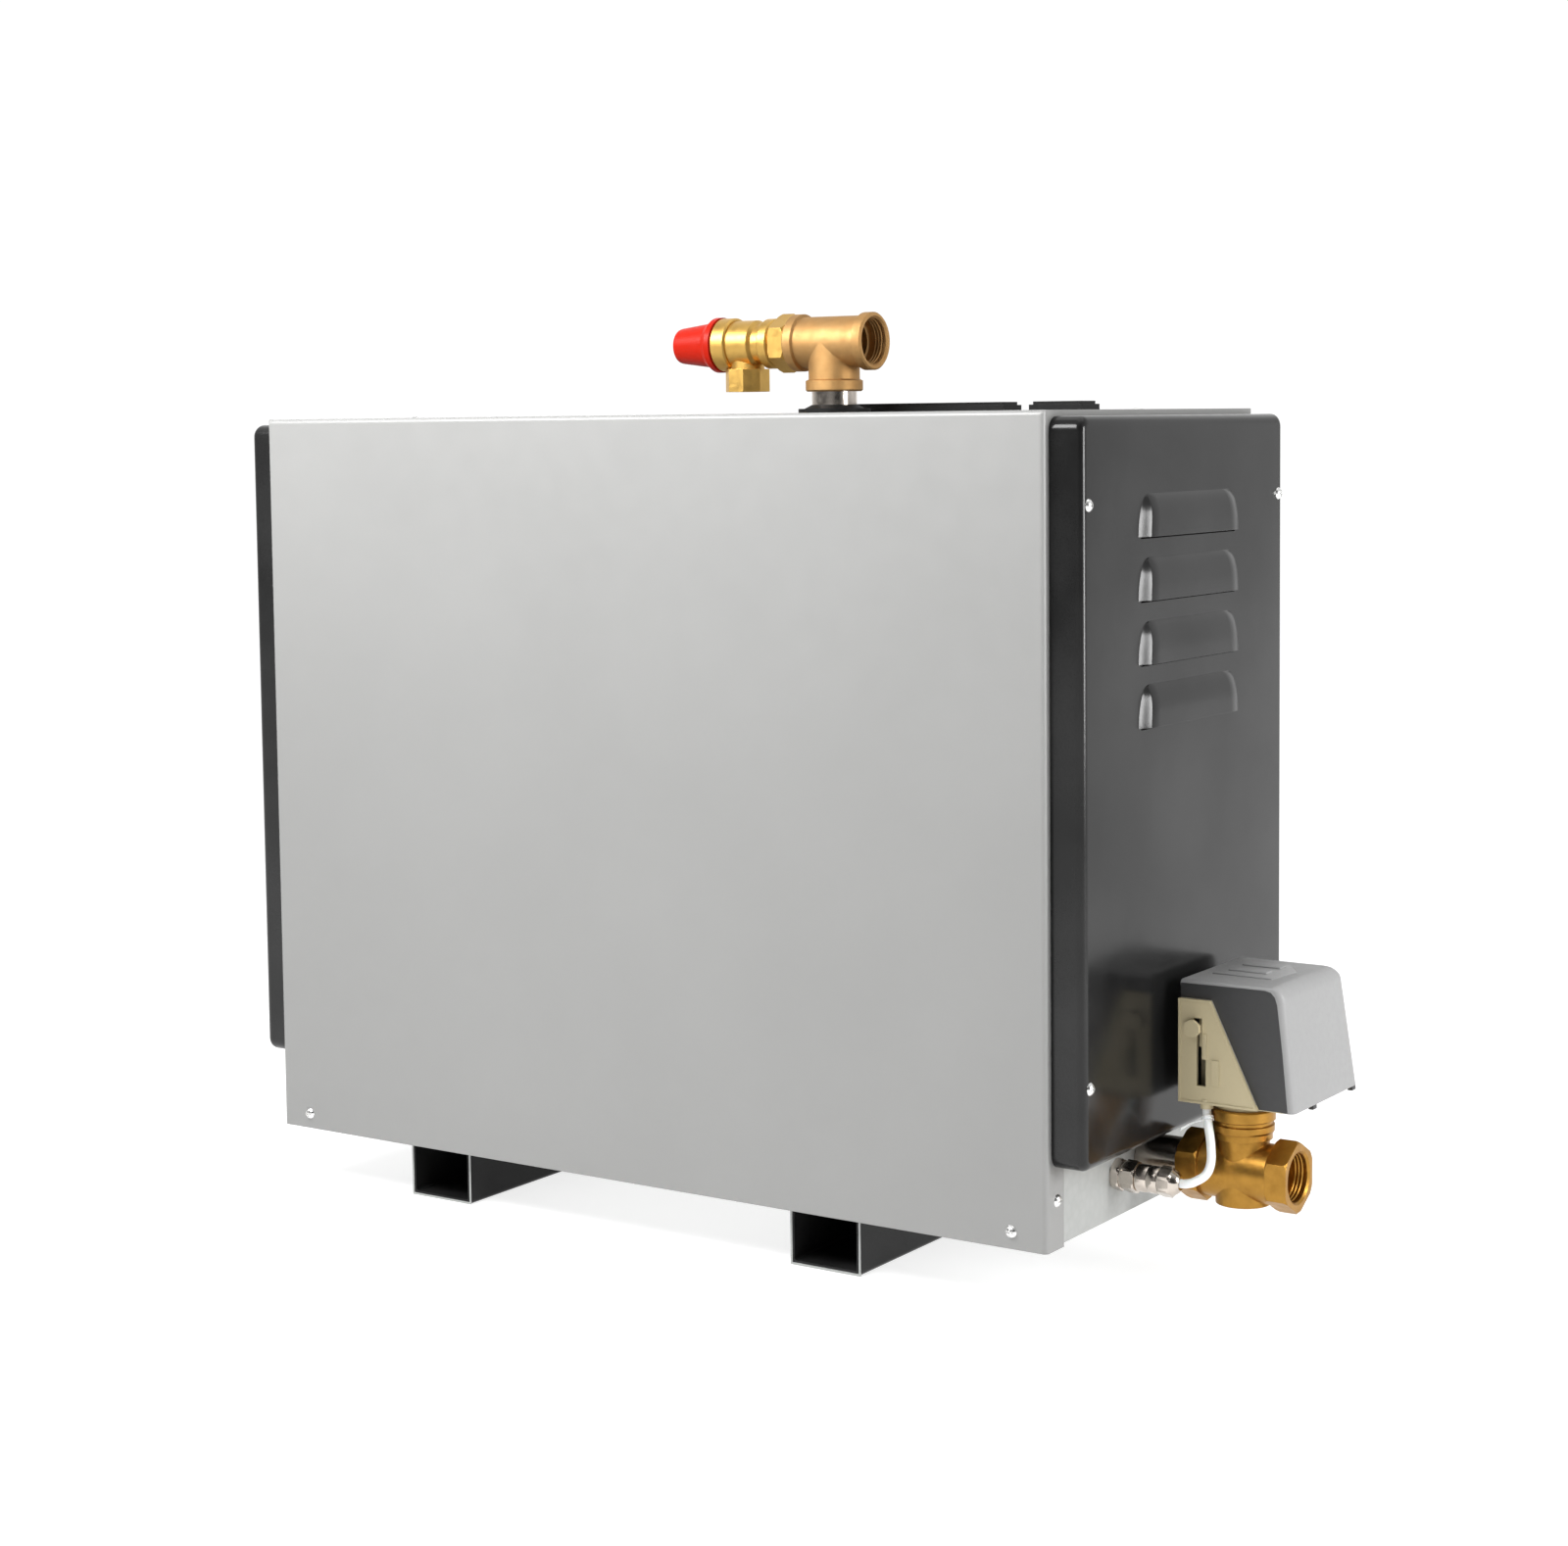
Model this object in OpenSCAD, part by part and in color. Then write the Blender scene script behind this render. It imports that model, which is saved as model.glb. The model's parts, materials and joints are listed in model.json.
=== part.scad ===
// Steam generator for a sauna or steam room: a sheet metal casing on two tube feet,
// a steam outlet tee with a safety valve on top, and a motor driven drain valve on the right.
// The front faces -Y, the floor is z = 0, and the origin lies under the middle of the whole outline.

/* [Casing] */
// Width of the front panel
casing_w = 618; // [600:1:680]
// Depth from the front panel to the back panel
casing_d = 283; // [276:1:330]
// Height of the front panel
casing_h = 500; // [495:1:560]
// Thickness of the casing sheet
sheet_t = 1.5; // [1.2:0.1:2]
// Outer radius of the bends in the silver panels
bend_r = 3; // [2.6:0.1:4]
// Depth of the returns bent round the panel edges
return_d = 21; // [18:1:26]
// How far the front panel hangs below the base tray
front_drop = 1.6; // [0:0.1:3]
// Height of the base tray's upstand
tray_h = 70; // [66:1:80]

/* [Feet] */
// Width of a foot tube
foot_w = 53; // [45:1:60]
// Height of a foot tube
foot_h = 40; // [35:1:50]
// Wall of a foot tube
foot_wall = 3; // [2:0.5:4]
// Gap from the casing's left side to the left foot
foot_left_gap = 109; // [90:1:130]
// Gap from the casing's right side to the right foot
foot_right_gap = 139; // [120:1:150]
// How far the feet stand back from the front and the back
foot_set = 12; // [8:1:20]

/* [Side covers] */
// How far a side cover stands out
cover_out = 22; // [18:1:24]
// Bend radius of a side cover
cover_r = 4; // [3:0.5:5]
// Set-back of the covers behind the front panel
cover_set = 6; // [4:1:8]
// Height of the covers' lower edge over the front panel's lower edge
cover_low = 50; // [46:1:54]
// Step from the top panel down to the covers
cover_top_step = 3.7; // [3:0.1:6]
// Louvres in each cover
louvre_count = 4; // [2:1:5]
// Length of a louvre
louvre_w = 134; // [110:1:150]
// Height of a louvre
louvre_h = 26; // [22:1:28]
// Spacing of the louvres
louvre_pitch = 38.5; // [34:0.5:44]
// How far a louvre stands out
louvre_out = 5; // [4:0.5:7]
// Radius of a louvre's upper corners
louvre_r = 13; // [9:1:16]
// From the cover's top edge to the first louvre
louvre_top = 47; // [40:1:60]

/* [Tank] */
// Width of the water tank
tank_w = 250; // [240:1:254]
// Gap between the tank and the front and back panels
tank_gap_y = 56.5; // [54:0.5:60]
// Height of the water tank
tank_h = 340; // [320:1:350]
// Wall of the tank
tank_wall = 2; // [1.5:0.5:3]
// Radius of the tank's upright corners
tank_r = 13; // [12:1:24]
// Clear height under the tank
tank_gap = 58.5; // [56:0.5:64]
// Heating elements in the tank
element_count = 3; // [2:1:3]
// Length of the heating elements
element_len = 190; // [150:1:200]

/* [Steam outlet] */
// Height of the tee's axis over the top panel
tee_rise = 46.8; // [44:0.1:52]
// From the tee's middle to its open end
tee_half = 32.3; // [30:0.1:36]
// From the tee's middle to the safety valve
tee_left = 30; // [29:0.1:34]
// Radius of the tee's barrel
tee_r = 17; // [16.5:0.1:18]
// Radius of the beads at the tee's ends
tee_bead_r = 19; // [18.4:0.1:21]
// Radius inside a one inch female thread
thread_r = 15.15; // [14.8:0.05:15.3]
// Outer radius of the steam nipple
nipple_r = 15; // [14.6:0.1:15]
// Distance of the outlet in front of the casing's middle
tee_forward = 6.5; // [0:0.5:12]
// Distance of the outlet right of the casing's middle
tee_right = 76.4; // [60:0.1:90]

/* [Safety valve] */
// Radius of the safety valve's bonnet ring
bonnet_r = 17.9; // [17:0.1:19]
// Length of the red cap
cap_len = 35; // [34:0.1:42]
// Radius of the cap's skirt
cap_r = 18.6; // [17.8:0.1:19.4]
// Lift of the valve disc
lift = 2.5; // [1.5:0.1:3]

/* [Drain valve] */
// Distance of the valve's middle from the casing side
valve_out = 66; // [64:0.5:74]
// Height of the valve's axis over the base tray
valve_rise = 30; // [28:0.5:34]
// Distance of the valve's axis behind the front panel
valve_back = 130; // [126:1:140]
// Half length of the valve body
valve_half = 37; // [36:0.5:42]
// Width across flats of the valve's hexagon ends
valve_af = 39.5; // [38:0.5:42]
// Radius of the valve's round bonnet
valve_bonnet_r = 19.8; // [19:0.1:21]
// Travel of the valve stem
stem_travel = 4; // [3:0.5:5]

/* [Drain actuator] */
// Width of the actuator
act_w = 76; // [72:1:80]
// Length of the actuator
act_l = 101; // [96:0.5:112]
// Height of the actuator
act_h = 76; // [75:1:84]
// Inward lean of the cover's outer and back walls
act_lean = 8; // [4:0.5:10]
// Wall of the actuator cover
act_wall = 1.8; // [1.4:0.1:2.4]
// Travel of the hand lever
lever_travel = 30; // [24:1:32]

/* [Hidden] */

$fn = 48;
cut = 1;
fit = 0.05;
clear = 0.3;

panel_z = foot_h - front_drop;
top_z = panel_z + casing_h;
floor_z = foot_h + sheet_t;
side_x = casing_w / 2;
mid_y = casing_d / 2;

foot_x = [-side_x + foot_left_gap + foot_w / 2, side_x - foot_right_gap - foot_w / 2];
foot_len = casing_d - 2 * foot_set;
foot_bolt_r = 3;
foot_bolt_head_r = 5;
foot_bolt_head_h = 4;
foot_bolt_set = 30;

frame_leg = 20;
frame_t = 2;
frame_x = side_x - 2 * sheet_t;
frame_y = 2 * sheet_t;
rail_top = top_z - sheet_t;
flange_h = 20;

screw_head_r = 4;
screw_head_h = 2.5;
screw_r = 2;
screw_slot = 0.9;
cover_screw_in = 7.5;
cover_screw_top = 52;
cover_screw_low = 50;
cover_z0 = panel_z + cover_low;
cover_z1 = top_z - cover_top_step;
cover_screw_y = [cover_set + cover_screw_in, casing_d - cover_screw_in];
cover_screw_z = [cover_z0 + cover_screw_low, cover_z1 - cover_screw_top];
front_screw_in = 24.5;
front_screw_up = 10.5;
return_screw_in = 13;
return_screw_up = 30;
top_screw_in = 12;

top_cover_h = 6;
top_cover_d = 24;
top_cover_back = 45.5;
top_cover_y = mid_y + top_cover_back;
long_cover_x = [62, 182];
short_cover_x = [201, 240];
top_cover_rib = 3;

board_back = 33;
board_y = casing_d - board_back;
plate_set = 10;
plate_x0 = -frame_x + plate_set;
plate_h = 455;
rail_w = 35;
rail_d = 7.5;
rail_t = 1.2;

tank_x = 110;
tank_y = mid_y;
tank_d = casing_d - 2 * tank_gap_y;
tank_z = floor_z + tank_gap;
tank_top = tank_z + tank_h;
rim_w = 12;
partition_gap = 8;
partition_x = tank_x - tank_w / 2 - rim_w - partition_gap;
partition_window_r = 62;
rim_t = 4;
gasket_t = 2;
lid_t = 4;
lid_z = tank_top + gasket_t;
bolt_r = 3;
bolt_head_af = 10;
bolt_head_h = 4;
bolt_pitch_x = 66;
bolt_pitch_y = 80;
stand_leg = 22;

element_up = 70;
element_z = tank_z + element_up;
element_r = 4.25;
element_bend = 17;
element_rise = 24;
element_flange_r = 55;
element_flange_t = 8;
element_hole_r = 38;
element_bolt_ring = 46;

tee_x = tee_right;
tee_y = mid_y - tee_forward;
tee_z = top_z + tee_rise;
edge = 1;
bead_w = 7;
socket_d = 14;
passage_r = 12.5;
branch_len = 32.5;
seal_r = 24;
seal_h = 3;
seal_neck_r = 20;
seal_neck_h = 5.5;
nipple_wall = 3;

adapter_af = 34;
adapter_len = 12;
safety_x = tee_x - tee_left - adapter_len;
neck_gap = 2;
inlet_thread_r = 10.4;
inlet_bore_r = 6;
safety_flange_r = 16.7;
safety_flange_len = 8;
safety_waist_r = 13.6;
safety_waist_len = 7.5;
safety_barrel_r = 16;
safety_barrel_len = 18;
safety_joint_x = safety_x - neck_gap - safety_flange_len - safety_waist_len - safety_barrel_len;
safety_len = safety_x - safety_joint_x;
outlet_off = 27.8;
outlet_x = safety_x - outlet_off;
outlet_af = 28;
outlet_drop = 31.8;
outlet_h = 15.2;
outlet_neck_r = 11.5;
outlet_thread_r = 9.32;
outlet_thread_len = 12;
cavity_r = 11.5;
ring_len = 11.5;
ring_end_x = safety_joint_x - ring_len;
chamber_r = 10;
chamber_wall = 2;
chamber_len = 25;
spindle_r = 2.4;
seat_off = 20;
seat_x = safety_x - seat_off;
disc_r = 8;
disc_t = 4;
spindle_short = 3.5;
spindle_end_x = ring_end_x - cap_len + spindle_short;
spring_wire_r = 0.9;
spring_turns = 7;
coil_steps = 12;
coil_sides = 6;

valve_x = side_x + valve_out;
valve_y = valve_back;
valve_z = foot_h + valve_rise;
hex_len = 14;
hex_chamfer = 1.6;
valve_barrel_r = 18.5;
valve_neck_r = 16.3;
valve_foot_r = 17;
valve_foot_h = 20;
neck_h = 25;
neck_top_z = valve_z + neck_h;
bonnet_h = 15;
bonnet_top_z = neck_top_z + bonnet_h;
chamber_in_r = 12.5;
seat_drop = 2;
seat_z = valve_z - seat_drop;
seat_t = 3;
seat_r = 7;
port_r = 6.5;
port_off = 7.5;
plug_r = 9;
plug_h = 6;
stem_r = 3;
button_r = 8.5;
button_h = 3;

act_left = 34.5;
act_x0 = valve_x - act_left;
act_x1 = act_x0 + act_w;
act_front = 19;
act_y0 = valve_y - act_front;
act_y1 = act_y0 + act_l;
act_up = 3;
act_z = bonnet_top_z + act_up;
act_top = act_z + act_h;
act_r = 8;
base_t = 3;
face_t = 1.8;
rim = 2.4;
cam_up = 37;
cam_z = act_z + cam_up;
cam_low = 8;
cam_w = 8;
pinion_r = 12;
cam_turn = 180 / PI * lever_travel / pinion_r;
pinion_teeth = 16;
tooth = 2 * pinion_r / pinion_teeth;
rack_pitch = PI * tooth;
backlash = 0.3;
pinion_in = 14;
pinion_x = act_x0 + pinion_in;
pinion_w = 4;
shaft_r = 3;
bracket_t = 3;
gearbox_off = 9.5;
gearbox_x = valve_x + gearbox_off;
gearbox_w = 20;
gearbox_l = 70;
gearbox_h = 52;
motor_r = 22;
motor_len = 34;
motor_off = 45;
stem_top_z = cam_z - cam_low;
spring_r = 8;

lever_x = pinion_x;
lever_w = 2.4;
lever_up = 46.7;
lever_z = act_z + lever_up;
knob_r = 5.3;
knob_t = 2.2;
knob_off = 3.7;
knob_back = 2.2;
slot_w = 3.6;
slot_up = 11;
slot_h = 42;

gland_front = 39;
gland_y = valve_y - gland_front;
gland_up = 27;
gland_z = foot_h + gland_up;
gland_af = 18;
gland_hex_len = 14.5;
gland_seal_len = 15.5;
gland_nut_len = 13;
gland_r = 8.6;
lead_r = 2.75;
lead_sides = 8;
lead_steps = 5;

inlet_left = 70;
inlet_x = tank_x - inlet_left;
inlet_up = 30;
inlet_z = foot_h + inlet_up;
inlet_r = 10.48;
inlet_len = 15;
inlet_af = 27;
inlet_collar = 4;
inlet_body_l = 44;
inlet_body_w = 30;
inlet_gap = 7;
coil_w = 28;
coil_h = 34;
plunger_r = 5;
plunger_h = 18;
orifice_r = 1.4;
feed_r = 9;
feed_bend = 18;
feed_share = 24 / 85;
feed_y = tank_y + tank_d * feed_share;

mains_in = 90;
mains_x = -frame_x + mains_in;
mains_up = 32;
mains_z = foot_h + mains_up;
mains_af = 36;
mains_bore = 10;
mains_hex_len = 9;
mains_dome_len = 16;

left_end = -(side_x + cover_out + max(louvre_out, screw_head_h));
right_end = max(act_x1, valve_x + valve_half);
front_end = -screw_head_h;
back_end = casing_d + max(inlet_collar + inlet_len, mains_hex_len + mains_dome_len);
origin = [(left_end + right_end) / 2, (front_end + back_end) / 2, 0];

module place() {
    translate(-origin) children();
}

// Shapes that repeat

module rounded_rect(w, d, r) {
    square([w - 2 * r, d], center = true);
    square([w, d - 2 * r], center = true);
    for (sx = [-1, 1], sy = [-1, 1])
        translate([sx * (w / 2 - r), sy * (d / 2 - r)]) circle(r);
}

module box(low, high) {
    translate(low) cube(high - low);
}

module both_sides() {
    children();
    mirror([1, 0, 0]) children();
}

module both_ends() {
    children();
    translate([0, casing_d, 0]) mirror([0, 1, 0]) children();
}

module to_right(p) {
    translate(p) rotate([0, 90, 0]) children();
}

module to_left(p) {
    translate(p) rotate([0, -90, 0]) children();
}

module to_back(p) {
    translate(p) rotate([-90, 0, 0]) children();
}

module to_front(p) {
    translate(p) rotate([90, 0, 0]) children();
}

module ring(r_out, r_in, h) {
    difference() {
        cylinder(h = h, r = r_out);
        translate([0, 0, -cut]) cylinder(h = h + 2 * cut, r = r_in);
    }
}

module hexagon(af, h) {
    cylinder(h = h, r = af / sqrt(3), $fn = 6);
}

module chamfered_hex(af, h, c) {
    r = af / sqrt(3);
    intersection() {
        hexagon(af, h);
        rotate_extrude()
            polygon([[0, 0], [r - c, 0], [r, c], [r, h - c], [r - c, h], [0, h]]);
    }
}

module pan_head(head_r, head_h, shank_r, shank_len) {
    dome_r = (pow(head_r, 2) + pow(head_h, 2)) / (2 * head_h);
    difference() {
        intersection() {
            translate([0, 0, head_h - dome_r]) sphere(dome_r);
            cylinder(h = head_h, r = head_r);
        }
        for (a = [0, 90])
            rotate([0, 0, a]) translate([0, 0, head_h])
                cube([head_r * 1.2, screw_slot, head_h], center = true);
    }
    translate([0, 0, -shank_len]) cylinder(h = shank_len, r = shank_r);
}

module hex_bolt(af, head_h, shank_r, shank_len) {
    chamfered_hex(af, head_h, head_h / 8);
    translate([0, 0, -shank_len]) cylinder(h = shank_len, r = shank_r);
}

// Coil spring along +Z as one unbroken tube

function coil_point(mean_r, length, turns, i) =
    let (s = i / (turns * coil_steps))
    [mean_r * cos(360 * turns * s), mean_r * sin(360 * turns * s), length * s];

module coil_spring(mean_r, wire_r, length, turns) {
    n = turns * coil_steps;
    rise = length - 2 * wire_r;
    path = [for (i = [0 : n]) coil_point(mean_r, rise, turns, i) + [0, 0, wire_r]];
    gap = rise / turns - 2 * wire_r;
    echo(least_gap_of_coil_to_itself = gap);
    rings = [for (i = [0 : n]) let (a = 360 * i / coil_steps)
        [for (k = [0 : coil_sides - 1]) let (b = 360 * k / coil_sides)
            path[i] + wire_r * [cos(b) * cos(a), cos(b) * sin(a), sin(b)]]];
    sweep_rings(rings, coil_sides);
}

module sweep_rings(rings, sides) {
    last = len(rings) - 1;
    points = [for (row = rings) for (p = row) p];
    walls = [for (i = [0 : last - 1]) for (k = [0 : sides - 1]) let (
        a = i * sides + k,
        b = i * sides + (k + 1) % sides) each [[a, a + sides, b], [b, a + sides, b + sides]]];
    front_cap = [[for (k = [0 : sides - 1]) k]];
    back_cap = [[for (k = [sides - 1 : -1 : 0]) last * sides + k]];
    polyhedron(points, concat(walls, front_cap, back_cap));
}

// Feet, tray and frame

module foot(x) {
    translate([x, mid_y, foot_h / 2]) rotate([90, 0, 0])
        linear_extrude(foot_len, center = true) difference() {
            rounded_rect(foot_w, foot_h, foot_wall);
            rounded_rect(foot_w - 2 * foot_wall, foot_h - 2 * foot_wall, foot_wall / 2);
        }
}

module foot_bolt_places() {
    for (x = foot_x, y = [foot_set + foot_bolt_set, casing_d - foot_set - foot_bolt_set])
        translate([x, y, foot_h - foot_wall]) children();
}

module foot_holed(x) {
    difference() {
        foot(x);
        foot_bolt_places() cylinder(h = 3 * foot_wall, r = foot_bolt_r + fit, center = true);
    }
}

module foot_left() {
    color([0.05, 0.05, 0.05]) place() foot_holed(foot_x[0]);
}

module foot_right() {
    color([0.05, 0.05, 0.05]) place() foot_holed(foot_x[1]);
}

module foot_bolts() {
    grip = foot_wall + sheet_t + foot_bolt_head_h + foot_wall;
    color([0.75, 0.75, 0.75]) place() foot_bolt_places() {
        mirror([0, 0, 1]) hex_bolt(2 * foot_bolt_head_r * sqrt(3) / 2, foot_bolt_head_h, foot_bolt_r, grip);
        translate([0, 0, foot_wall + sheet_t]) difference() {
            hexagon(2 * foot_bolt_head_r * sqrt(3) / 2, foot_bolt_head_h);
            translate([0, 0, -cut]) cylinder(h = foot_bolt_head_h + 2 * cut, r = foot_bolt_r);
        }
    }
}

module base_tray() {
    w = casing_w - 2 * sheet_t;
    d = casing_d - 2 * sheet_t;
    color([0.78, 0.78, 0.77]) place() difference() {
        translate([0, mid_y, foot_h]) linear_extrude(tray_h) rounded_rect(w, d, bend_r - sheet_t);
        box([-frame_x, frame_y, floor_z], [frame_x, casing_d - frame_y, foot_h + tray_h + cut]);
        foot_bolt_places() cylinder(h = 4 * foot_wall, r = foot_bolt_r + fit);
        to_right([frame_x - cut, valve_y, valve_z]) cylinder(h = sheet_t + 2 * cut, r = nipple_r + clear);
        to_right([frame_x - cut, gland_y, gland_z]) cylinder(h = sheet_t + 2 * cut, r = gland_r - 1 + fit);
        to_back([inlet_x, casing_d - frame_y - cut, inlet_z])
            cylinder(h = sheet_t + 2 * cut, r = inlet_r + fit);
        to_back([mains_x, casing_d - frame_y - cut, mains_z])
            cylinder(h = sheet_t + 2 * cut, r = mains_bore + 3);
        front_screw_places() screw_hole();
        return_screw_places() screw_hole();
        rear_screw_places() screw_hole();
        cover_screw_places() screw_hole();
    }
}

module corner_frame() {
    color([0.7, 0.7, 0.7]) place() difference() {
        both_sides() both_ends() {
            translate([-frame_x, frame_y, floor_z]) {
                cube([frame_leg, frame_t, rail_top - floor_z]);
                cube([frame_t, frame_leg, rail_top - floor_z]);
            }
            translate([-frame_x, frame_y, rail_top - frame_leg]) cube([frame_x, frame_t, frame_leg]);
            translate([-frame_x, frame_y, rail_top - frame_t]) cube([frame_x, frame_leg, frame_t]);
            translate([-frame_x, frame_y, rail_top - frame_leg])
                cube([frame_t, mid_y - frame_y, frame_leg]);
            translate([-frame_x, frame_y, rail_top - frame_t])
                cube([frame_leg, mid_y - frame_y, frame_t]);
        }
        cover_screw_places() screw_hole();
        top_screw_places() screw_hole();
        front_screw_places() screw_hole();
        return_screw_places() screw_hole();
        rear_screw_places() screw_hole();
    }
}

// Screw places: each child points out of the casing along +Z

module screw_hole() {
    translate([0, 0, -cover_out * 2]) cylinder(h = cover_out * 4, r = screw_r + fit);
}

module cover_screw_places() {
    both_sides() for (y = cover_screw_y, z = cover_screw_z)
        to_right([side_x + cover_out, y, z]) children();
}

module front_screw_places() {
    both_sides() to_front([side_x - front_screw_in, 0, panel_z + front_screw_up]) children();
}

module rear_screw_places() {
    both_sides() to_back([side_x - front_screw_in, casing_d, panel_z + front_screw_up]) children();
}

module return_screw_places() {
    both_sides() to_right([side_x, return_screw_in, panel_z + return_screw_up]) children();
}

module top_screw_places() {
    both_sides() translate([side_x - top_screw_in, mid_y, top_z]) children();
}

// Silver panels

module pan_solid(inset) {
    w = casing_w - 2 * inset;
    d = 2 * return_d - 2 * inset;
    r = bend_r - inset;
    tall = top_z - panel_z;
    intersection() {
        translate([0, return_d, panel_z - cut])
            linear_extrude(tall + 2 * cut) rounded_rect(w, d, r);
        translate([0, return_d, top_z - inset - tall])
            rotate([90, 0, 90]) linear_extrude(casing_w, center = true)
                rounded_rect(d, 2 * tall, r);
    }
}

module pan_panel() {
    difference() {
        intersection() {
            pan_solid(0);
            box([-side_x, 0, panel_z], [side_x, return_d, top_z]);
        }
        pan_solid(sheet_t);
    }
}

module front_panel() {
    color([0.76, 0.76, 0.75]) place() difference() {
        pan_panel();
        front_screw_places() screw_hole();
        return_screw_places() screw_hole();
        cover_screw_places() screw_hole();
    }
}

module back_panel() {
    color([0.76, 0.76, 0.75]) place() difference() {
        translate([0, casing_d, 0]) mirror([0, 1, 0]) pan_panel();
        rear_screw_places() screw_hole();
        cover_screw_places() screw_hole();
        to_back([inlet_x, casing_d - sheet_t - cut, inlet_z])
            cylinder(h = sheet_t + 2 * cut, r = inlet_r + fit);
        to_back([mains_x, casing_d - sheet_t - cut, mains_z])
            cylinder(h = sheet_t + 2 * cut, r = mains_bore + 3);
    }
}

module top_panel() {
    color([0.78, 0.78, 0.77]) place() difference() {
        union() {
            box([-side_x, return_d, top_z - sheet_t], [side_x, casing_d - return_d, top_z]);
            both_sides() box([-side_x, return_d, top_z - flange_h],
                [-side_x + sheet_t, casing_d - return_d, top_z]);
        }
        translate([tee_x, tee_y, top_z]) cylinder(h = 4 * sheet_t, r = nipple_r + clear * 2, center = true);
        top_screw_places() screw_hole();
    }
}

// Side covers

module cover_solid(inset) {
    d = casing_d - cover_set - 2 * inset;
    h = cover_z1 - cover_z0 - 2 * inset;
    out = cover_out - inset;
    r = cover_r - inset;
    y = (casing_d + cover_set) / 2;
    z = (cover_z0 + cover_z1) / 2;
    intersection() {
        translate([side_x, y, z - h / 2]) linear_extrude(h) rounded_rect(2 * out, d, r);
        translate([side_x, y + d / 2, z]) rotate([90, 0, 0]) linear_extrude(d)
            rounded_rect(2 * out, h, r);
    }
}

module louvre_solid(inset) {
    w = louvre_w - 2 * inset;
    h = louvre_h - inset;
    out = louvre_out - inset;
    r = louvre_r - inset;
    bulge_r = (pow(h, 2) + pow(out, 2)) / (2 * out);
    back = inset > 0 ? 2 * sheet_t : sheet_t;
    intersection() {
        // seen from the side: round upper corners
        translate([-back, 0, 0]) rotate([90, 0, 90]) linear_extrude(back + out) {
            translate([-w / 2, -inset]) square([w, h - r + inset]);
            translate([-w / 2 + r, -inset]) square([w - 2 * r, h + inset]);
            for (s = [-1, 1])
                translate([s * (w / 2 - r), h - r]) circle(r);
        }
        // seen from the end: an arc that runs out at the top
        translate([0, w / 2, 0]) rotate([90, 0, 0]) linear_extrude(w) union() {
            intersection() {
                translate([out - bulge_r, 0]) circle(bulge_r, $fn = 96);
                translate([0, -inset]) square([out, h + inset]);
            }
            translate([-back, -inset]) square([back, h + inset]);
        }
        // seen from above: rounded ends
        translate([0, 0, -inset]) linear_extrude(h + inset) {
            translate([-back, -w / 2]) square([back, w]);
            translate([0, -w / 2 + out]) square([out, w - 2 * out]);
            intersection() {
                for (s = [-1, 1]) translate([0, s * (w / 2 - out)]) circle(out);
                translate([0, -w / 2]) square([out, w]);
            }
        }
    }
}

module louvre_places() {
    y = (casing_d + cover_set) / 2;
    for (i = [0 : louvre_count - 1])
        translate([side_x + cover_out, y, cover_z1 - louvre_top - louvre_h - i * louvre_pitch]) children();
}

module side_cover() {
    difference() {
        union() {
            difference() {
                cover_solid(0);
                cover_solid(sheet_t);
                box([0, 0, 0], [side_x, casing_d, top_z]);
            }
            louvre_places() louvre_solid(0);
        }
        louvre_places() louvre_solid(sheet_t);
        cover_screw_places() screw_hole();
    }
}

module left_side_cover() {
    color([0.09, 0.09, 0.09]) place() mirror([1, 0, 0]) side_cover();
}

module right_side_cover() {
    color([0.09, 0.09, 0.09]) place() side_cover();
}

module side_cover_screws() {
    color([0.85, 0.85, 0.85]) place() cover_screw_places()
        pan_head(screw_head_r, screw_head_h, screw_r, cover_out + 2 * sheet_t + 2 * frame_t);
}

module panel_screws() {
    grip = 4 * sheet_t;
    color([0.85, 0.85, 0.85]) place() {
        front_screw_places() pan_head(screw_head_r, screw_head_h, screw_r, grip);
        rear_screw_places() pan_head(screw_head_r, screw_head_h, screw_r, grip);
        return_screw_places() pan_head(screw_head_r, screw_head_h, screw_r, grip);
        top_screw_places() pan_head(screw_head_r, screw_head_h / 2, screw_r, grip);
    }
}

// Low black covers on top

module top_cover(x) {
    edge = 2;
    color([0.05, 0.05, 0.05]) place() translate([0, top_cover_y, top_z]) difference() {
        union() {
            box([x[0], -top_cover_d / 2, 0], [x[1], top_cover_d / 2, top_cover_h - edge]);
            box([x[0] + edge, edge - top_cover_d / 2, 0],
                [x[1] - edge, top_cover_d / 2 - edge, top_cover_h]);
        }
        for (s = [x[0] + 3 * top_cover_rib : 2 * top_cover_rib : x[1] - 3 * top_cover_rib])
            box([s, 3 * edge - top_cover_d / 2, top_cover_h - edge],
                [s + top_cover_rib / 2, top_cover_d / 2 - 3 * edge, top_cover_h + cut]);
    }
}

module long_top_cover() {
    top_cover(long_cover_x);
}

module short_top_cover() {
    top_cover(short_cover_x);
}

// Dry side: partition, plate and electrics

module partition() {
    color([0.7, 0.7, 0.7]) place() difference() {
        union() {
            box([partition_x - sheet_t, frame_y, floor_z],
                [partition_x, casing_d - frame_y, rail_top - frame_leg]);
            box([partition_x - sheet_t, frame_y, floor_z],
                [partition_x + flange_h, casing_d - frame_y, floor_z + sheet_t]);
        }
        to_right([partition_x - flange_h, tank_y, element_z])
            cylinder(h = 2 * flange_h, r = partition_window_r);
        to_right([partition_x - flange_h, lead_wall[1], lead_wall[2]])
            cylinder(h = 2 * flange_h, r = lead_r + clear);
    }
}

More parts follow.
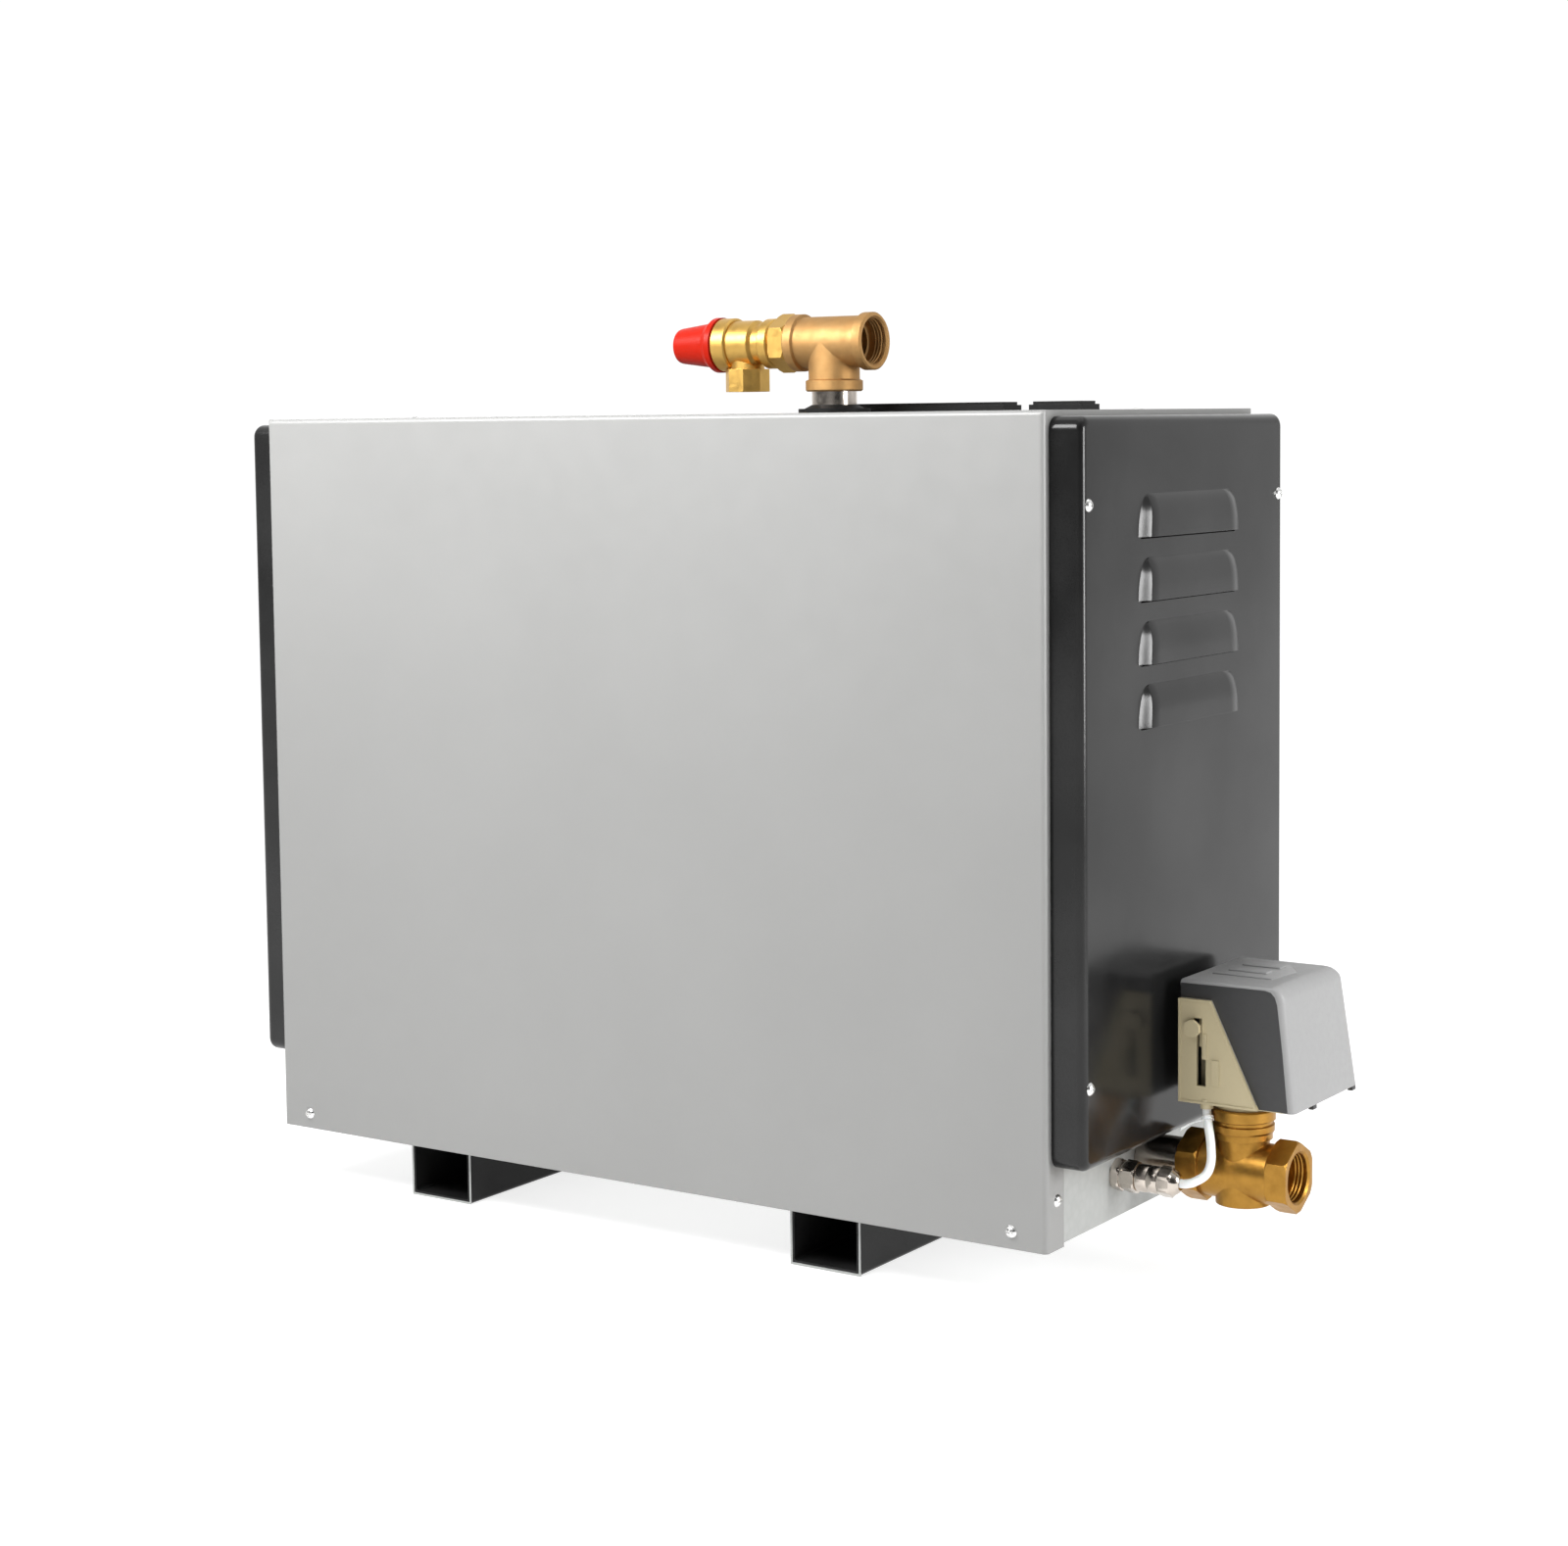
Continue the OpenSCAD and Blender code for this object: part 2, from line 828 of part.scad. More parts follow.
module component_plate() {
    color([0.8, 0.8, 0.8]) place() {
        box([plate_x0, board_y, floor_z], [partition_x - sheet_t, board_y + sheet_t, floor_z + plate_h]);
        box([plate_x0, board_y, floor_z], [partition_x - sheet_t, board_y + flange_h, floor_z + sheet_t]);
    }
}

module rail(x0, x1, z) {
    translate([x0, board_y, z]) rotate([90, 0, 90]) linear_extrude(x1 - x0) difference() {
        translate([-rail_d, -rail_w / 2]) square([rail_d, rail_w]);
        translate([-rail_d - cut, -rail_w / 2 + 5 * rail_t])
            square([rail_d - rail_t + cut, rail_w - 10 * rail_t]);
        for (s = [-1, 1])
            translate([-rail_d + rail_t, s * rail_w / 2 - (s + 1) / 2 * 4 * rail_t])
                square([rail_d, 4 * rail_t]);
    }
}

contactor_rail_up = 380;
contactor_rail_z = floor_z + contactor_rail_up;
terminal_rail_up = 80;
terminal_rail_z = floor_z + terminal_rail_up;
rail_set = 12;
rail_x = [plate_x0 + rail_set, partition_x - sheet_t - rail_set];
contactor_w = 45;
contactor_h = 74;
contactor_low_d = 52;
contactor_d = 78;
contactor_gap = 12;
contactor_count = 3;
contactor_start = 10;

module mounting_rails() {
    color([0.82, 0.82, 0.8]) place() {
        rail(rail_x[0], rail_x[1], contactor_rail_z);
        rail(rail_x[0], rail_x[1], terminal_rail_z);
    }
}

module contactors() {
    y = board_y - rail_d;
    terminal_w = contactor_w / 4;
    color([0.2, 0.2, 0.2]) place() for (i = [0 : contactor_count - 1])
        translate([rail_x[0] + contactor_start + i * (contactor_w + contactor_gap), y, contactor_rail_z])
            difference() {
            union() {
                box([0, -contactor_low_d, -contactor_h / 2], [contactor_w, 0, contactor_h / 2]);
                box([0, -contactor_d, -contactor_h / 4], [contactor_w, 0, contactor_h / 4]);
            }
            for (k = [0 : 2], s = [-1, 1])
                translate([(k + 1) * terminal_w, -contactor_low_d, s * contactor_h * 3 / 8])
                    rotate([90, 0, 0]) cylinder(h = terminal_w, r = terminal_w / 3, center = true);
        }
}

terminal_n = 8;
terminal_pitch = 10;
terminal_h = 44;
terminal_d = 40;
terminal_start = 40;

module terminal_block() {
    y = board_y - rail_d;
    color([0.6, 0.6, 0.58]) place() for (i = [0 : terminal_n - 1])
        translate([rail_x[0] + terminal_start + i * terminal_pitch, y, terminal_rail_z]) difference() {
            union() {
                box([0, -terminal_d / 2, -terminal_h / 2], [terminal_pitch - clear, 0, terminal_h / 2]);
                box([0, -terminal_d, -terminal_h / 4], [terminal_pitch - clear, 0, terminal_h / 4]);
            }
            for (s = [-1, 1])
                translate([terminal_pitch / 2, -terminal_d / 2, s * terminal_h * 3 / 8])
                    rotate([90, 0, 0]) cylinder(h = terminal_pitch, r = terminal_pitch / 4, center = true);
        }
}

pcb_w = 190;
pcb_h = 130;
pcb_t = 1.6;
pcb_post = 10;
pcb_post_r = 3;
pcb_up = 170;
pcb_z = floor_z + pcb_up;
relay_w = 20;

module control_board() {
    x = rail_x[0] + pcb_post;
    y = board_y - pcb_post;
    color([0.1, 0.4, 0.2]) place() translate([x, y, pcb_z]) {
        box([0, -pcb_t, 0], [pcb_w, 0, pcb_h]);
        for (px = [pcb_post, pcb_w - pcb_post], pz = [pcb_post, pcb_h - pcb_post])
            to_back([px, 0, pz]) cylinder(h = pcb_post, r = pcb_post_r);
        for (i = [0 : 3])
            box([pcb_post * 2 + i * relay_w * 1.3, -pcb_t - relay_w * 0.8, pcb_h - relay_w * 1.6],
                [pcb_post * 2 + i * relay_w * 1.3 + relay_w, -pcb_t, pcb_h - relay_w * 0.6]);
        box([pcb_w - relay_w * 3, -pcb_t - relay_w * 1.5, pcb_post],
            [pcb_w - relay_w, -pcb_t, pcb_post + relay_w * 1.8]);
        for (i = [0 : 1])
            to_front([pcb_post * 3 + i * relay_w * 1.4, -pcb_t, pcb_h * 0.35])
                cylinder(h = relay_w, r = relay_w * 0.45);
        box([pcb_post * 2, -pcb_t - relay_w * 0.5, pcb_post * 0.4],
            [pcb_w / 2, -pcb_t, pcb_post * 1.4]);
    }
}

// Tank

drain_right = 90;
drain_hole = [tank_x + drain_right, valve_y];
feed_hole = [inlet_x, feed_y];
bolt_places = concat(
    [for (i = [-1.5 : 1 : 1.5], s = [-1, 1]) [i * bolt_pitch_x, s * (tank_d + rim_w) / 2]],
    [for (i = [-0.5, 0.5], s = [-1, 1]) [s * (tank_w + rim_w) / 2, i * bolt_pitch_y]]);

module lid_bolt_holes() {
    for (p = bolt_places)
        translate([tank_x + p[0], tank_y + p[1], tank_top])
            cylinder(h = 6 * rim_t, r = bolt_r + fit, center = true);
}

module tank() {
    color([0.75, 0.76, 0.77]) place() difference() {
        union() {
            translate([tank_x, tank_y, tank_z]) linear_extrude(tank_h) rounded_rect(tank_w, tank_d, tank_r);
            translate([tank_x, tank_y, tank_top - rim_t]) linear_extrude(rim_t)
                rounded_rect(tank_w + 2 * rim_w, tank_d + 2 * rim_w, tank_r + rim_w);
        }
        translate([tank_x, tank_y, tank_z + tank_wall]) linear_extrude(tank_h)
            rounded_rect(tank_w - 2 * tank_wall, tank_d - 2 * tank_wall, tank_r - tank_wall);
        translate([drain_hole[0], drain_hole[1], tank_z - cut])
            cylinder(h = tank_wall + 2 * cut, r = pipe_r + fit);
        translate([feed_hole[0], feed_hole[1], tank_z - cut])
            cylinder(h = tank_wall + 2 * cut, r = feed_r + fit);
        to_right([tank_x - tank_w / 2 - cut, tank_y, element_z])
            cylinder(h = tank_wall + 2 * cut, r = element_hole_r);
        element_bolt_places() cylinder(h = 4 * element_flange_t, r = bolt_r + fit, center = true);
        lid_bolt_holes();
    }
}

module tank_stand() {
    w = tank_w / 2 - tank_r;
    d = tank_d / 2 - tank_r / 2;
    color([0.65, 0.65, 0.65]) place() for (sx = [-1, 1], sy = [-1, 1])
        translate([tank_x + sx * w, tank_y + sy * d, floor_z])
            mirror([sx > 0 ? 1 : 0, 0, 0]) mirror([0, sy > 0 ? 1 : 0, 0]) {
                cube([stand_leg, frame_t, tank_gap]);
                cube([frame_t, stand_leg, tank_gap]);
                cube([stand_leg, stand_leg, frame_t]);
            }
}

module lid_gasket() {
    color([0.2, 0.2, 0.2]) place() difference() {
        translate([tank_x, tank_y, tank_top]) linear_extrude(gasket_t) difference() {
            rounded_rect(tank_w + 2 * rim_w, tank_d + 2 * rim_w, tank_r + rim_w);
            rounded_rect(tank_w - 2 * tank_wall, tank_d - 2 * tank_wall, tank_r - tank_wall);
        }
        lid_bolt_holes();
    }
}

probe_right = 60;
probe_x = tank_x + probe_right;
probe_y = tank_y;
probe_r = 8;
probe_af = 24;
probe_hex_h = 9;
probe_cap_h = 16;
probe_rod_r = 2;
probe_ring = 4.5;
probe_lengths_share = [0.2, 0.42, 0.7];

module tank_lid() {
    color([0.75, 0.76, 0.77]) place() difference() {
        translate([tank_x, tank_y, lid_z]) linear_extrude(lid_t)
            rounded_rect(tank_w + 2 * rim_w, tank_d + 2 * rim_w, tank_r + rim_w);
        translate([tee_x, tee_y, lid_z - cut]) cylinder(h = lid_t + 2 * cut, r = nipple_r + fit);
        translate([probe_x, probe_y, lid_z - cut]) cylinder(h = lid_t + 2 * cut, r = probe_r + fit);
        lid_bolt_holes();
    }
}

module lid_bolts() {
    grip = lid_t + gasket_t + rim_t + bolt_head_h + bolt_r;
    color([0.8, 0.8, 0.8]) place() for (p = bolt_places)
        translate([tank_x + p[0], tank_y + p[1], lid_z + lid_t]) {
            hex_bolt(bolt_head_af, bolt_head_h, bolt_r, grip);
            translate([0, 0, -lid_t - gasket_t - rim_t - bolt_head_h]) difference() {
                hexagon(bolt_head_af, bolt_head_h);
                translate([0, 0, -cut]) cylinder(h = bolt_head_h + 2 * cut, r = bolt_r);
            }
        }
}

// Heating elements

element_x = tank_x - tank_w / 2 - element_flange_t;
terminal_len = 18;
terminal_bush_r = 5;

module element_bolt_places() {
    for (a = [30 : 60 : 330])
        to_left([element_x, tank_y + element_bolt_ring * cos(a), element_z + element_bolt_ring * sin(a)])
            children();
}

module element_legs(r, from, to) {
    for (i = [0 : element_count - 1], s = [-1, 1])
        to_right([from, tank_y + s * element_bend,
            element_z + (i - (element_count - 1) / 2) * element_rise])
            cylinder(h = to - from, r = r);
}

module element_flange() {
    color([0.78, 0.62, 0.3]) place() difference() {
        to_right([element_x, tank_y, element_z]) cylinder(h = element_flange_t, r = element_flange_r);
        element_legs(element_r + fit, element_x - cut, element_x + element_flange_t + cut);
        element_bolt_places() cylinder(h = 4 * element_flange_t, r = bolt_r + fit, center = true);
    }
}

module element_bolts() {
    color([0.8, 0.8, 0.8]) place() element_bolt_places()
        hex_bolt(bolt_head_af, bolt_head_h, bolt_r, element_flange_t + tank_wall + bolt_r);
}

module heating_elements() {
    start = element_x - element_flange_t / 2;
    end = element_x + element_len;
    color([0.6, 0.6, 0.6]) place() {
        element_legs(element_r, start, end);
        for (i = [0 : element_count - 1])
            translate([end, tank_y, element_z + (i - (element_count - 1) / 2) * element_rise])
                rotate([0, 0, -90]) rotate_extrude(angle = 180) translate([element_bend, 0])
                    circle(element_r);
    }
}

module element_terminals() {
    start = element_x - element_flange_t / 2;
    color([0.9, 0.9, 0.85]) place() {
        element_legs(terminal_bush_r, start - terminal_len / 2, start);
        element_legs(probe_rod_r, start - terminal_len, start - terminal_len / 2);
    }
}

// Probe and thermostat on the lid

module level_probe() {
    z = lid_z + lid_t;
    color([0.8, 0.8, 0.82]) place() translate([probe_x, probe_y, z]) {
        chamfered_hex(probe_af, probe_hex_h, probe_hex_h / 8);
        translate([0, 0, probe_hex_h]) cylinder(h = probe_cap_h, r = probe_r);
        translate([0, 0, -lid_t - gasket_t]) cylinder(h = lid_t + gasket_t, r = probe_r);
        for (i = [0 : 2])
            rotate([0, 0, i * 120]) translate([probe_ring, 0,
                -lid_t - gasket_t - tank_h * probe_lengths_share[i]])
                cylinder(h = tank_h * probe_lengths_share[i], r = probe_rod_r);
    }
}

thermostat_r = 12;
thermostat_h = 9;
thermostat_place = [tank_x + tank_w * 0.38, tank_y - tank_d * 0.265, lid_z + lid_t];

module thermostat() {
    color([0.85, 0.85, 0.8]) place() translate(thermostat_place) {
        cylinder(h = thermostat_h / 3, r = thermostat_r);
        cylinder(h = thermostat_h, r = thermostat_r * 0.8);
        for (s = [-1, 1])
            translate([s * thermostat_r / 2, 0, thermostat_h]) linear_extrude(thermostat_h * 0.9)
                square([0.8 * thermostat_r / thermostat_h, thermostat_r / 2], center = true);
    }
}

// Steam outlet

module steam_nipple() {
    top = tee_z - branch_len + socket_d;
    color([0.82, 0.8, 0.76]) place() translate([tee_x, tee_y, 0]) {
        translate([0, 0, lid_z]) ring(nipple_r, nipple_r - nipple_wall, top - lid_z);
        translate([0, 0, lid_z + lid_t]) ring(nipple_r + 2 * nipple_wall, nipple_r - nipple_wall,
            2 * nipple_wall);
    }
}

module top_seal() {
    color([0.05, 0.05, 0.05]) place() translate([tee_x, tee_y, top_z]) rotate_extrude()
        polygon([[nipple_r + fit, 0], [seal_r, 0], [seal_r, seal_h], [seal_neck_r, seal_h],
            [nipple_r + 2 * fit, seal_neck_h], [nipple_r + fit, seal_neck_h]]);
}

module tee_outer_end(half) {
    // one end of the tee, along +Z from the middle
    rotate_extrude() polygon([[0, 0], [tee_r, 0], [tee_r, half - bead_w - edge],
        [tee_bead_r, half - bead_w],
        [tee_bead_r, half - edge], [tee_bead_r - edge, half], [0, half]]);
}

module socket(depth) {
    // a threaded mouth, its face at z = 0 and its hole down -Z
    lead_in = 1.4;
    translate([0, 0, -depth]) cylinder(h = depth + cut, r = thread_r);
    rotate_extrude() polygon([[0, -lead_in], [thread_r, -lead_in], [thread_r + lead_in + cut, cut],
        [0, cut]]);
}

module outlet_tee() {
    color([0.82, 0.66, 0.4]) place() translate([tee_x, tee_y, tee_z]) difference() {
        union() {
            rotate([0, 90, 0]) tee_outer_end(tee_half);
            rotate([0, -90, 0]) tee_outer_end(tee_left);
            rotate([180, 0, 0]) tee_outer_end(branch_len);
        }
        translate([tee_half, 0, 0]) rotate([0, 90, 0]) socket(socket_d);
        translate([-tee_left, 0, 0]) rotate([0, -90, 0]) socket(socket_d);
        translate([0, 0, -branch_len]) rotate([180, 0, 0]) socket(socket_d);
        to_right([socket_d - tee_left - cut, 0, 0])
            cylinder(h = tee_half + tee_left - 2 * (socket_d - cut), r = passage_r);
        translate([0, 0, -branch_len + socket_d - cut])
            cylinder(h = branch_len - socket_d + cut, r = passage_r);
    }
}

// Safety valve, built along -X from the tee

module safety_adapter() {
    x = tee_x - tee_left;
    color([0.8, 0.62, 0.34]) place() difference() {
        union() {
            to_left([x, tee_y, tee_z]) chamfered_hex(adapter_af, adapter_len, hex_chamfer);
            to_right([x, tee_y, tee_z]) cylinder(h = socket_d - 1, r = thread_r - fit);
        }
        to_right([x - adapter_len - cut, tee_y, tee_z])
            cylinder(h = adapter_len + cut, r = inlet_thread_r + fit);
        to_right([x - cut, tee_y, tee_z]) cylinder(h = socket_d + cut, r = inlet_bore_r + 2);
    }
}

module safety_body() {
    f = safety_flange_len + neck_gap;
    w = f + safety_waist_len;
    e = safety_len;
    color([0.8, 0.62, 0.28]) place() difference() {
        union() {
            to_left([safety_x, tee_y, tee_z]) rotate_extrude() polygon([[0, -adapter_len + 1],
                [inlet_thread_r, -adapter_len + 1], [inlet_thread_r, 0], [safety_waist_r, 0],
                [safety_waist_r, neck_gap], [safety_flange_r - 1, neck_gap],
                    [safety_flange_r, neck_gap + 1],
                [safety_flange_r, f - 1], [safety_flange_r - 1, f], [safety_waist_r, f],
                [safety_waist_r, w - 1], [safety_barrel_r, w + 1], [safety_barrel_r, e], [0, e]]);
            translate([outlet_x, tee_y, tee_z - outlet_drop]) {
                rotate(22.5) cylinder(h = outlet_h, r = outlet_af / 2 / cos(22.5), $fn = 8);
                cylinder(h = outlet_drop, r = outlet_neck_r);
            }
        }
        to_right([seat_x - cut, tee_y, tee_z]) cylinder(h = 4 * adapter_len, r = inlet_bore_r);
        to_left([seat_x, tee_y, tee_z]) cylinder(h = e, r = cavity_r);
        to_left([safety_joint_x, tee_y, tee_z]) cylinder(h = ring_len + cut, r = bonnet_r + clear);
        translate([outlet_x, tee_y, tee_z - outlet_drop - cut])
            cylinder(h = outlet_thread_len + cut, r = outlet_thread_r);
        translate([outlet_x, tee_y, tee_z - outlet_drop])
            cylinder(h = outlet_drop - cavity_r / 2, r = inlet_bore_r);
    }
}

module safety_bonnet() {
    color([0.82, 0.68, 0.38]) place() difference() {
        union() {
            to_left([safety_joint_x, tee_y, tee_z]) rotate_extrude()
                polygon([[0, -ring_len / 2], [cavity_r - fit, -ring_len / 2], [cavity_r - fit, 0],
                    [bonnet_r - 1, 0],
                    [bonnet_r, 1], [bonnet_r, ring_len - 1], [bonnet_r - 1, ring_len], [0, ring_len]]);
            to_left([ring_end_x + cut, tee_y, tee_z]) cylinder(h = chamber_len + cut, r = chamber_r);
        }
        to_left([safety_joint_x + ring_len, tee_y, tee_z])
            cylinder(h = 2 * ring_len + chamber_len - chamber_wall, r = chamber_r - chamber_wall);
        to_left([ring_end_x, tee_y, tee_z]) cylinder(h = chamber_len + cut, r = spindle_r + fit);
    }
}

spring_start = ring_end_x - chamber_len + chamber_wall;
spring_end = seat_x - disc_t - lift - clear;

module safety_spring() {
    color([0.8, 0.8, 0.8]) place() to_right([spring_start, tee_y, tee_z])
        coil_spring(chamber_r - chamber_wall - spring_wire_r - 2 * clear, spring_wire_r,
            spring_end - spring_start, spring_turns);
}

module safety_spindle() {
    color([0.75, 0.75, 0.75]) place() {
        to_left([seat_x, tee_y, tee_z]) cylinder(h = disc_t, r = disc_r);
        to_left([seat_x - disc_t, tee_y, tee_z]) cylinder(h = seat_x - disc_t - spindle_end_x,
            r = spindle_r);
    }
}

module safety_cap() {
    l = cap_len;
    wall = 2.5;
    hollow = chamber_len + lift + 2 * clear;
    skirt = 4;
    flare = 9;
    waist_r = cap_r * 0.81;
    nose_r = cap_r * 0.65;
    color([0.82, 0.12, 0.05]) place() to_left([ring_end_x - clear, tee_y, tee_z]) difference() {
        rotate_extrude() polygon([[0, 0], [cap_r, 0], [cap_r, skirt], [waist_r, flare], [nose_r, l - wall],
            [nose_r * 0.96, l - wall / 3], [nose_r * 0.84, l], [0, l]]);
        translate([0, 0, -cut]) cylinder(h = hollow + cut, r = chamber_r + 2 * clear);
        translate([0, 0, -cut]) cylinder(h = l - wall + cut, r = spindle_r);
    }
}

// Drain line

pipe_r = 13;
pipe_bend = 28;
pipe_wall = 2;
pipe_short = 20;

module elbow(bend, r) {
    // a quarter bend from straight up (at x = -bend) round to +X (at z = -bend)
    rotate([90, 0, 0]) rotate([0, 0, 180]) rotate_extrude(angle = 90) translate([bend, 0]) circle(r);
}

module pipe_with_elbow(r, bend, up, along) {
    // the elbow is a fitting that both pipes enter; up and along are the pipes' free lengths
    enter = bend / 8;
    difference() {
        union() {
            elbow(bend, r + pipe_wall);
            translate([-bend, 0, -enter / 2]) cylinder(h = up + enter / 2, r = r);
            to_right([-enter / 2, 0, -bend]) cylinder(h = along + enter / 2, r = r);
        }
        elbow(bend, r - pipe_wall * 0.8);
        translate([-bend, 0, -enter]) cylinder(h = up + enter + cut, r = r - pipe_wall);
        to_right([-enter, 0, -bend]) cylinder(h = along + enter + cut, r = r - pipe_wall);
    }
}

module drain_pipe() {
    end = side_x - pipe_short - drain_hole[0] - pipe_bend;
    color([0.72, 0.72, 0.72]) place() translate([drain_hole[0] + pipe_bend, valve_y, valve_z + pipe_bend])
        difference() {
            union() {
                pipe_with_elbow(pipe_r, pipe_bend, tank_z + tank_wall - valve_z - pipe_bend, end);
                to_right([end - socket_d, 0, -pipe_bend])
                    ring(pipe_r + 2 * pipe_wall, pipe_r - pipe_wall, socket_d);
            }
            to_right([end - socket_d + pipe_wall, 0, -pipe_bend])
                cylinder(h = socket_d + cut, r = nipple_r + fit);
        }
}

module drain_nipple() {
    x0 = side_x - pipe_short - socket_d + pipe_wall;
    x1 = valve_x - valve_half + socket_d - 1;
    color([0.8, 0.77, 0.72]) place() to_right([x0, valve_y, valve_z])
        ring(nipple_r, nipple_r - nipple_wall, x1 - x0);
}

module hex_end() {
    chamfered_hex(valve_af, hex_len, hex_chamfer);
}

module drain_valve_body() {
    color([0.72, 0.52, 0.22]) place() translate([valve_x, valve_y, valve_z]) difference() {
        union() {
            rotate([0, 90, 0]) cylinder(h = 2 * (valve_half - hex_len) + cut, r = valve_barrel_r,
                center = true);
            translate([valve_half - hex_len, 0, 0]) rotate([0, 90, 0]) hex_end();
            translate([-valve_half, 0, 0]) rotate([0, 90, 0]) hex_end();
            cylinder(h = neck_top_z - valve_z, r = valve_neck_r);
            translate([0, 0, neck_top_z - valve_z - 4]) cylinder(h = 4, r = valve_neck_r + 1.7);
            translate([0, 0, -valve_foot_h]) cylinder(h = valve_foot_h, r = valve_foot_r);
        }
        translate([valve_half, 0, 0]) rotate([0, 90, 0]) socket(socket_d);
        translate([-valve_half, 0, 0]) rotate([0, -90, 0]) socket(socket_d);
        translate([0, 0, seat_z - valve_z + seat_t]) cylinder(h = neck_top_z - seat_z, r = chamber_in_r);
        translate([0, 0, seat_z - valve_z - plug_h - stem_travel - 2])
            cylinder(h = plug_h + stem_travel + 2, r = chamber_in_r);
        translate([0, 0, seat_z - valve_z - cut]) cylinder(h = seat_t + 2 * cut, r = seat_r);
        translate([0, 0, -port_off]) to_left([0, 0, 0])
            cylinder(h = valve_half - socket_d + cut, r = port_r);
        translate([0, 0, port_off]) to_right([0, 0, 0])
            cylinder(h = valve_half - socket_d + cut, r = port_r);
    }
}

module drain_valve_bonnet() {
    h = bonnet_top_z - neck_top_z;
    r = valve_bonnet_r;
    color([0.74, 0.54, 0.24]) place() translate([valve_x, valve_y, neck_top_z]) rotate_extrude()
        polygon([[stem_r + fit, -h / 3], [chamber_in_r - fit, -h / 3], [chamber_in_r - fit, 0],
            [r - 1.2, 0],
            [r - 0.6, h * 0.08], [r - 0.6, h * 0.32], [r - 2, h * 0.36], [r - 2, h * 0.48], [r, h * 0.54],
            [r, h * 0.94], [r - 1, h], [stem_r + fit, h]]);
}

module drain_stem() {
    color([0.78, 0.78, 0.78]) place() translate([valve_x, valve_y, 0]) {
        translate([0, 0, seat_z - plug_h]) cylinder(h = plug_h - fit, r = plug_r);
        translate([0, 0, seat_z - fit - cut]) cylinder(h = stem_top_z - seat_z + fit + cut - button_h,
            r = stem_r);
        translate([0, 0, stem_top_z - button_h]) cylinder(h = button_h - fit, r = button_r);
    }
}

module stem_spring() {
    color([0.8, 0.8, 0.8]) place() translate([valve_x, valve_y, bonnet_top_z])
        coil_spring(spring_r - 1, spring_wire_r, stem_top_z - button_h - bonnet_top_z, 5);
}

// Actuator

module face_outline(inset) {
    // dark end panel, seen from the front: x right, y up
    r = act_r - rim;
    hull() {
        translate([inset, inset]) square([act_w / 2, act_h / 2]);
        translate([act_w - act_lean * (act_h - rim) / act_h - rim - r, act_h - rim - r])
            circle(r - inset, $fn = 32);
        translate([inset, act_h - rim - r]) square([act_w / 3, r - inset]);
        translate([act_w - r - rim, inset]) square([r - inset, r]);
    }
}

plate_top_share = 0.847;
plate_top_w_share = 0.28;
plate_low_w_share = 0.69;

module plate_outline(grow) {
    offset(delta = grow) polygon([[0, 0], [act_w * plate_low_w_share, 0],
        [act_w * plate_top_w_share, act_h * plate_top_share], [0, act_h * plate_top_share]]);
}

module slot_outline() {
    translate([lever_x - act_x0 - slot_w / 2, slot_up]) {
        square([slot_w, slot_h]);
        square([slot_w * 1.7, slot_h * 0.4]);
        translate([-slot_w * 0.7, slot_h * 0.74]) square([slot_w, slot_h * 0.26]);
    }
}

module on_face(depth) {
    // a flat drawing stood up on the actuator's front face, going back by depth
    translate([act_x0, act_y0 + depth, act_z]) rotate([90, 0, 0]) linear_extrude(depth) children();
}

module actuator_base() {
    proud = 0.5;
    frame_lip = 1.4;
    low = [act_x0 + act_wall + clear, act_y0 + face_t];
    high = [act_x1, act_y1] - [1, 1] * (act_wall + 2 * clear);
    color([0.76, 0.72, 0.6]) place() difference() {
        union() {
            translate([(low[0] + high[0]) / 2, (low[1] + high[1]) / 2, act_z]) linear_extrude(base_t)
                rounded_rect(high[0] - low[0], high[1] - low[1], act_r - act_wall);
            translate([0, -proud, 0]) on_face(face_t + proud) plate_outline(0);
            // raised border round the plate and steps beside the slot
            translate([0, -proud - 0.6, 0]) on_face(1) difference() {
                plate_outline(0);
                plate_outline(-frame_lip);
            }
            translate([0, -proud - 0.8, 0]) on_face(1) {
                translate([act_w * 0.222, act_h * 0.368]) square([act_w * 0.03, act_h * 0.204]);
                translate([act_w * 0.296, act_h * 0.158]) square([act_w * 0.066, act_h * 0.21]);
            }
            // bearing lug for the cam shaft
            box([pinion_x - pinion_w / 2 - bracket_t - clear, valve_y - 2 * shaft_r, act_z],
                [pinion_x - pinion_w / 2 - clear, valve_y + 2 * shaft_r, cam_z + 2 * shaft_r]);
            // skirt down to the valve bonnet
            translate([valve_x, valve_y, bonnet_top_z])
                cylinder(h = act_z - bonnet_top_z + base_t, r = valve_bonnet_r - 3);
            // bush round the lead
            translate([lead_exit[0], lead_exit[1], act_z - base_t])
                cylinder(h = 2 * base_t, r = lead_r + 1.2);
        }
        translate([0, -2 * proud - cut, 0]) on_face(face_t + 4 * cut) slot_outline();
        translate([valve_x, valve_y, bonnet_top_z - cut]) cylinder(h = act_h, r = spring_r + 4);
        to_right([act_x0, valve_y, cam_z]) cylinder(h = pinion_x - act_x0, r = shaft_r + fit);
        translate([lead_exit[0], lead_exit[1], act_z - base_t - cut])
            cylinder(h = 3 * base_t, r = lead_r + fit);
    }
}

module actuator_end_panel() {
    set = 0.4;
    color([0.25, 0.25, 0.25]) place() difference() {
        translate([0, set, 0]) on_face(face_t - set) face_outline(clear);
        translate([0, -cut, 0]) on_face(face_t + 2 * cut) plate_outline(0.2);
    }
}

